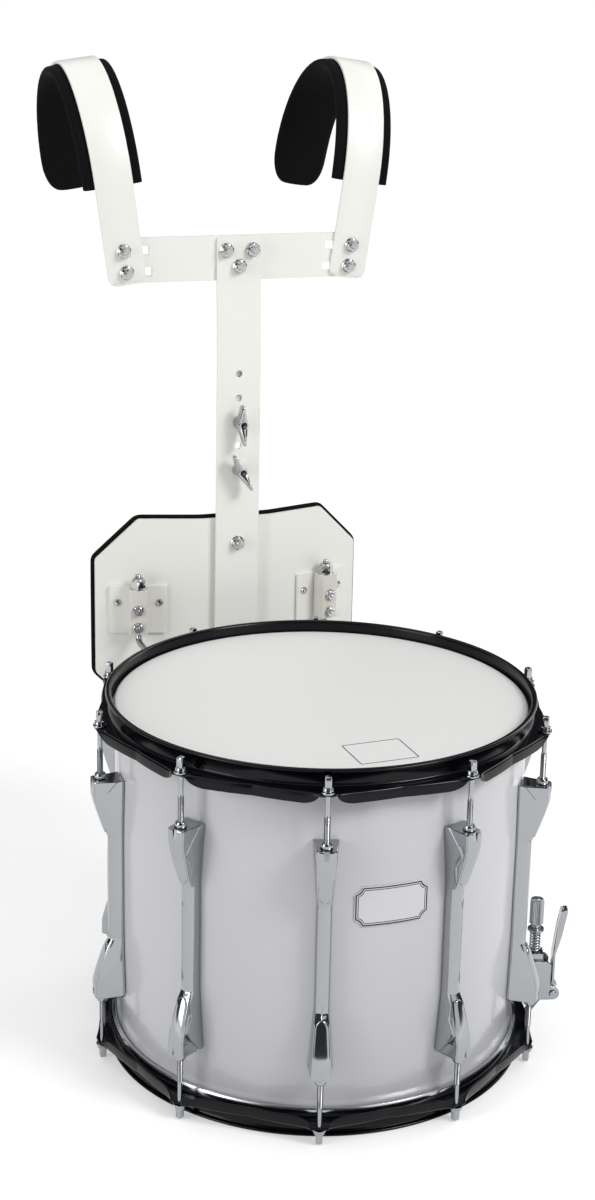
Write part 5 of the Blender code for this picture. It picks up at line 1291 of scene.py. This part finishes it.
strap_stations = [i / 40 for i in range(13)] + [0.4, 0.6, 0.8]
strap_stations += [1 + i / 28 for i in range(57)] + [3.4, 3.8, 4.0]
strap_rings = []
for along in strap_stations:
    point, out = strap_frame(along)
    corner = max(FOOT_CORNER - along * RISE, 0.0) if along < 1 else 0.0
    half = HOOK_HALF - FOOT_CORNER + math.sqrt(FOOT_CORNER ** 2 - corner ** 2)
    ring = []
    for x, depth in ((half - 0.8, 1.5), (half - 0.25, 1.25), (half, 0.8), (half, -0.8), (half - 0.25, -1.25),
                     (half - 0.8, -1.5)):
        spot = point + out * depth
        ring.append((x, spot.x, spot.y))
    strap_rings.append(ring + [(-x, y, z) for x, y, z in reversed(ring)])
hook_mesh = lofted(strap_rings)
bolt_hole = spun(turned([(0, 4), (3.35, 4), (3.35, -4), (0, -4)], 24), 90, "X")
for up in HOOK_HOLES:
    hook_mesh = carved(hook_mesh, shifted(bolt_hole, z=up))
for side, name in ((-1, "left"), (1, "right")):
    fitted(f"shoulder_strap_{name}", leaned(hook_mesh, side), coat, "t_bar",
           [f"shoulder_hook_{name}"])


# Pads. Closed-cell foam cut in strips and glued under the shoulder straps and behind the belly
# plate. Its skin is matt black, soft at the edges, and crowned where it meets the wearer.
PAD_HALF = 27.5
PAD_THICK = 9.8
PAD_TOP = PLATE / 2 + GAP
PAD_FOOT = 88.0
PAD_FRONT = BELLY_FRONT + PLATE + GAP
BELLY_PAD = 10.0
# Foam skin: a matt black that swallows light. Its pores, drawn 2.2 mm apart, are coarser than real
# ones, so that they show.
foam = surface("black_foam_skin", "#0A0A0B", 0.85, grain=(2.2, 0.16, 4.0), Specular_IOR_Level=0.1)


def cushion(name, mesh, body, node_name):
    """A foam piece, smoothed by subdivision."""
    item = fitted(name, mesh, foam, body, [node_name], sharp=180)
    smooth = item.modifiers.new("foam", "SUBSURF")
    smooth.levels = smooth.render_levels = 2


# Place along the strap, share of the full width, share of the full thickness.
pad_stations = [(PAD_FOOT / RISE, 1.0, 0.78), (0.985, 1.0, 0.84), (1.0, 1.0, 0.95)]
pad_stations += [(1 + i / 14, 1.0, 0.985) for i in range(1, 27)]
pad_stations += [(2.93, 0.995, 0.985), (3.0, 0.98, 0.985), (3.25, 0.95, 0.985), (3.5, 0.91, 0.98),
                 (3.75, 0.85, 0.96), (4.0, 0.76, 0.92), (4.2, 0.62, 0.84), (4.33, 0.44, 0.74)]
pad_rings = []
for along, wide, full in pad_stations:
    point, out = strap_frame(min(along, 4.0))
    point = Vector((point.x, point.y - TAIL * max(along - 4.0, 0.0)))
    ring = []
    for x, depth in ((0, 1.0), (0.45, 0.985), (0.75, 0.93), (0.93, 0.78), (0.995, 0.5), (0.985, 0.22),
                     (0.93, 0.04), (0.88, 0.0), (0.45, 0.0), (0, 0.0)):
        spot = point - out * (PAD_TOP + depth * PAD_THICK * full)
        ring.append((x * PAD_HALF * wide, spot.x, spot.y))
    pad_rings.append(ring + [(-x, y, z) for x, y, z in reversed(ring[1:-1])])
pad_mesh = lofted(pad_rings)
for side, name in ((-1, "left"), (1, "right")):
    cushion(f"shoulder_foam_{name}", leaned(pad_mesh, side), "t_bar", f"shoulder_pad_{name}")
belly_rings = []
for lap, depth in ((-20, 0.02), (1.6, 0.02), (2.5, 0.08), (2.9, 0.3), (2.7, 0.55), (1.2, 0.78), (-1.4, 0.9),
                   (-5, 0.96), (-14, 0.985), (-34, 0.99), (-60, 0.99)):
    line = eased(belly_outline(lap), max(5.0 + lap * 0.1, 2.0))
    belly_rings.append([(x, PAD_FRONT + BELLY_PAD * depth, z) for x, z in line])
pad_cuts = {side * d for side in (-1, 1) for d in (0, 15, 26, 30, 34, 38, 42, 55, 70, 85, 100, 115, 125)}
cushion("belly_foam", folded(lofted(belly_rings), 0, sorted(pad_cuts), wing_rule), "carrier", "belly_pad")


# Studio. A pale floor that the drum stands on, four large soft lights, and a white surround that
# the camera and the chrome both see. Black cloth screens stand round it, out of the picture, and
# only polished surfaces show them: they give chrome and enamel the dark lines of a real studio.
SCREEN_TURNS = (-20.0, 70.0, 160.0, 250.0)
SCREEN_AWAY = 2.9
SCREEN_HALF = 27.0
SCREEN_LOW = 0.02
SCREEN_HIGH = 2.6
CANOPY_HIGH = 3.4
CANOPY_HALF = 1.7
# Matt floor paint: dark enough to hold the drum's shadow. The camera and the mirrors also see a glow
# painted on it, stronger farther from the drum, so that it meets the background as white.
floor_paint = surface("pale_floor", "#D2D2D2", 0.8, Specular_IOR_Level=0.0)
tree = floor_paint.node_tree
shader = tree.nodes["Principled BSDF"]
shader.inputs["Emission Color"].default_value = linear("#FFFFFF")


def seen_rays(tree):
    """1 for a ray from the camera, a mirror or glass, 0 for one that lights the object."""
    path = node(tree, "ShaderNodeLightPath").outputs
    bent = node(tree, "ShaderNodeMath", {"operation": "MAXIMUM"}, i0=path["Is Glossy Ray"],
                i1=path["Is Transmission Ray"])
    return node(tree, "ShaderNodeMath", {"operation": "MAXIMUM"}, i0=path["Is Camera Ray"], i1=bent)


spot = node(tree, "ShaderNodeTexCoord").outputs["Object"]
away = node(tree, "ShaderNodeVectorMath", {"operation": "LENGTH"}, i0=spot).outputs["Value"]
level = node(tree, "ShaderNodeMapRange", Value=away, From_Min=1.0, From_Max=3.5, To_Min=0.42, To_Max=0.69)
painted_glow = node(tree, "ShaderNodeMath", {"operation": "MULTIPLY"}, i0=seen_rays(tree), i1=level)
tree.links.new(painted_glow.outputs[0], shader.inputs["Emission Strength"])
floor_mesh = bpy.data.meshes.new("floor")
floor_mesh.from_pydata([(-14, -6, 0), (14, -6, 0), (14, 34, 0), (-14, 34, 0)], [], [(0, 1, 2, 3)])
floor_mesh.materials.append(floor_paint)
added("floor", floor_mesh)

# Black cloth: matt, a dark grey stripe in whatever mirrors it.
black_cloth = surface("black_screen_cloth", "#4A4A4C", 0.95, Specular_IOR_Level=0.0)
cloth = bmesh.new()
for middle in SCREEN_TURNS:
    ends = [math.radians(middle + d) for d in (-SCREEN_HALF, 0, SCREEN_HALF)]
    low, high = [[cloth.verts.new((SCREEN_AWAY * math.sin(t), -SCREEN_AWAY * math.cos(t), height))
                  for t in ends] for height in (SCREEN_LOW, SCREEN_HIGH)]
    for i in range(2):
        cloth.faces.new((low[i], low[i + 1], high[i + 1], high[i]))
cloth.faces.new([cloth.verts.new((x * CANOPY_HALF, y * CANOPY_HALF, CANOPY_HIGH))
                 for x, y in ((-1, -1), (1, -1), (1, 1), (-1, 1))])
screens_mesh = kept(cloth, "screens")
screens_mesh.materials.append(black_cloth)
screens = added("screens", screens_mesh)
for ray in ("camera", "diffuse", "shadow", "transmission", "volume_scatter"):
    setattr(screens, f"visible_{ray}", False)

world = bpy.data.worlds.new("studio")
bpy.context.scene.world = world
world.use_nodes = True
sky = world.node_tree
sky.nodes.clear()
white = node(sky, "ShaderNodeBackground", Color=(1, 1, 1, 1), Strength=1.0)
ambient = node(sky, "ShaderNodeBackground", Color=(1, 1, 1, 1), Strength=0.5)
surround = node(sky, "ShaderNodeMixShader", i0=seen_rays(sky), i1=ambient, i2=white)
node(sky, "ShaderNodeOutputWorld", Surface=surround)


def lamp(name, place, aim, width, height, power):
    """A rectangular soft light that faces a point."""
    light = bpy.data.lights.new(name, "AREA")
    light.shape = "RECTANGLE"
    light.size = width
    light.size_y = height
    light.energy = power
    item = added(name, light)
    item.location = place
    item.rotation_euler = (Vector(aim) - Vector(place)).to_track_quat("-Z", "Y").to_euler()


lamp("key", (1.5, -2.1, 2.3), (0, 0, 0.3), 1.1, 1.1, 56)
lamp("fill", (-2.7, -0.8, 1.1), (0, 0, 0.35), 1.2, 2.0, 30)
lamp("overhead", (-0.3, 0.4, 2.7), (0, 0, 0.3), 1.8, 1.8, 10)
lamp("side", (2.2, 0.6, 1.2), (0, 0, 0.4), 0.7, 1.8, 12)

CAMERA_PLACE = (-0.57933, -1.68347, 0.9397)
CAMERA_LENS = 62.235
YAW, PITCH, ROLL = [math.radians(a) for a in (19.37, 17.83, 1.21)]
lens = bpy.data.cameras.new("camera")
lens.lens = CAMERA_LENS
lens.sensor_width = 36.0
camera = added("camera", lens)
ahead = Vector((math.sin(YAW) * math.cos(PITCH), math.cos(YAW) * math.cos(PITCH), -math.sin(PITCH)))
right = Vector((math.cos(YAW), -math.sin(YAW), 0))
above = right.cross(ahead)
across = right * math.cos(ROLL) + above * math.sin(ROLL)
upward = above * math.cos(ROLL) - right * math.sin(ROLL)
turn = Matrix((across, upward, -ahead)).transposed().to_4x4()
camera.matrix_world = Matrix.Translation(CAMERA_PLACE) @ turn
scene = bpy.context.scene
scene.camera = camera
scene.view_settings.view_transform = "Standard"
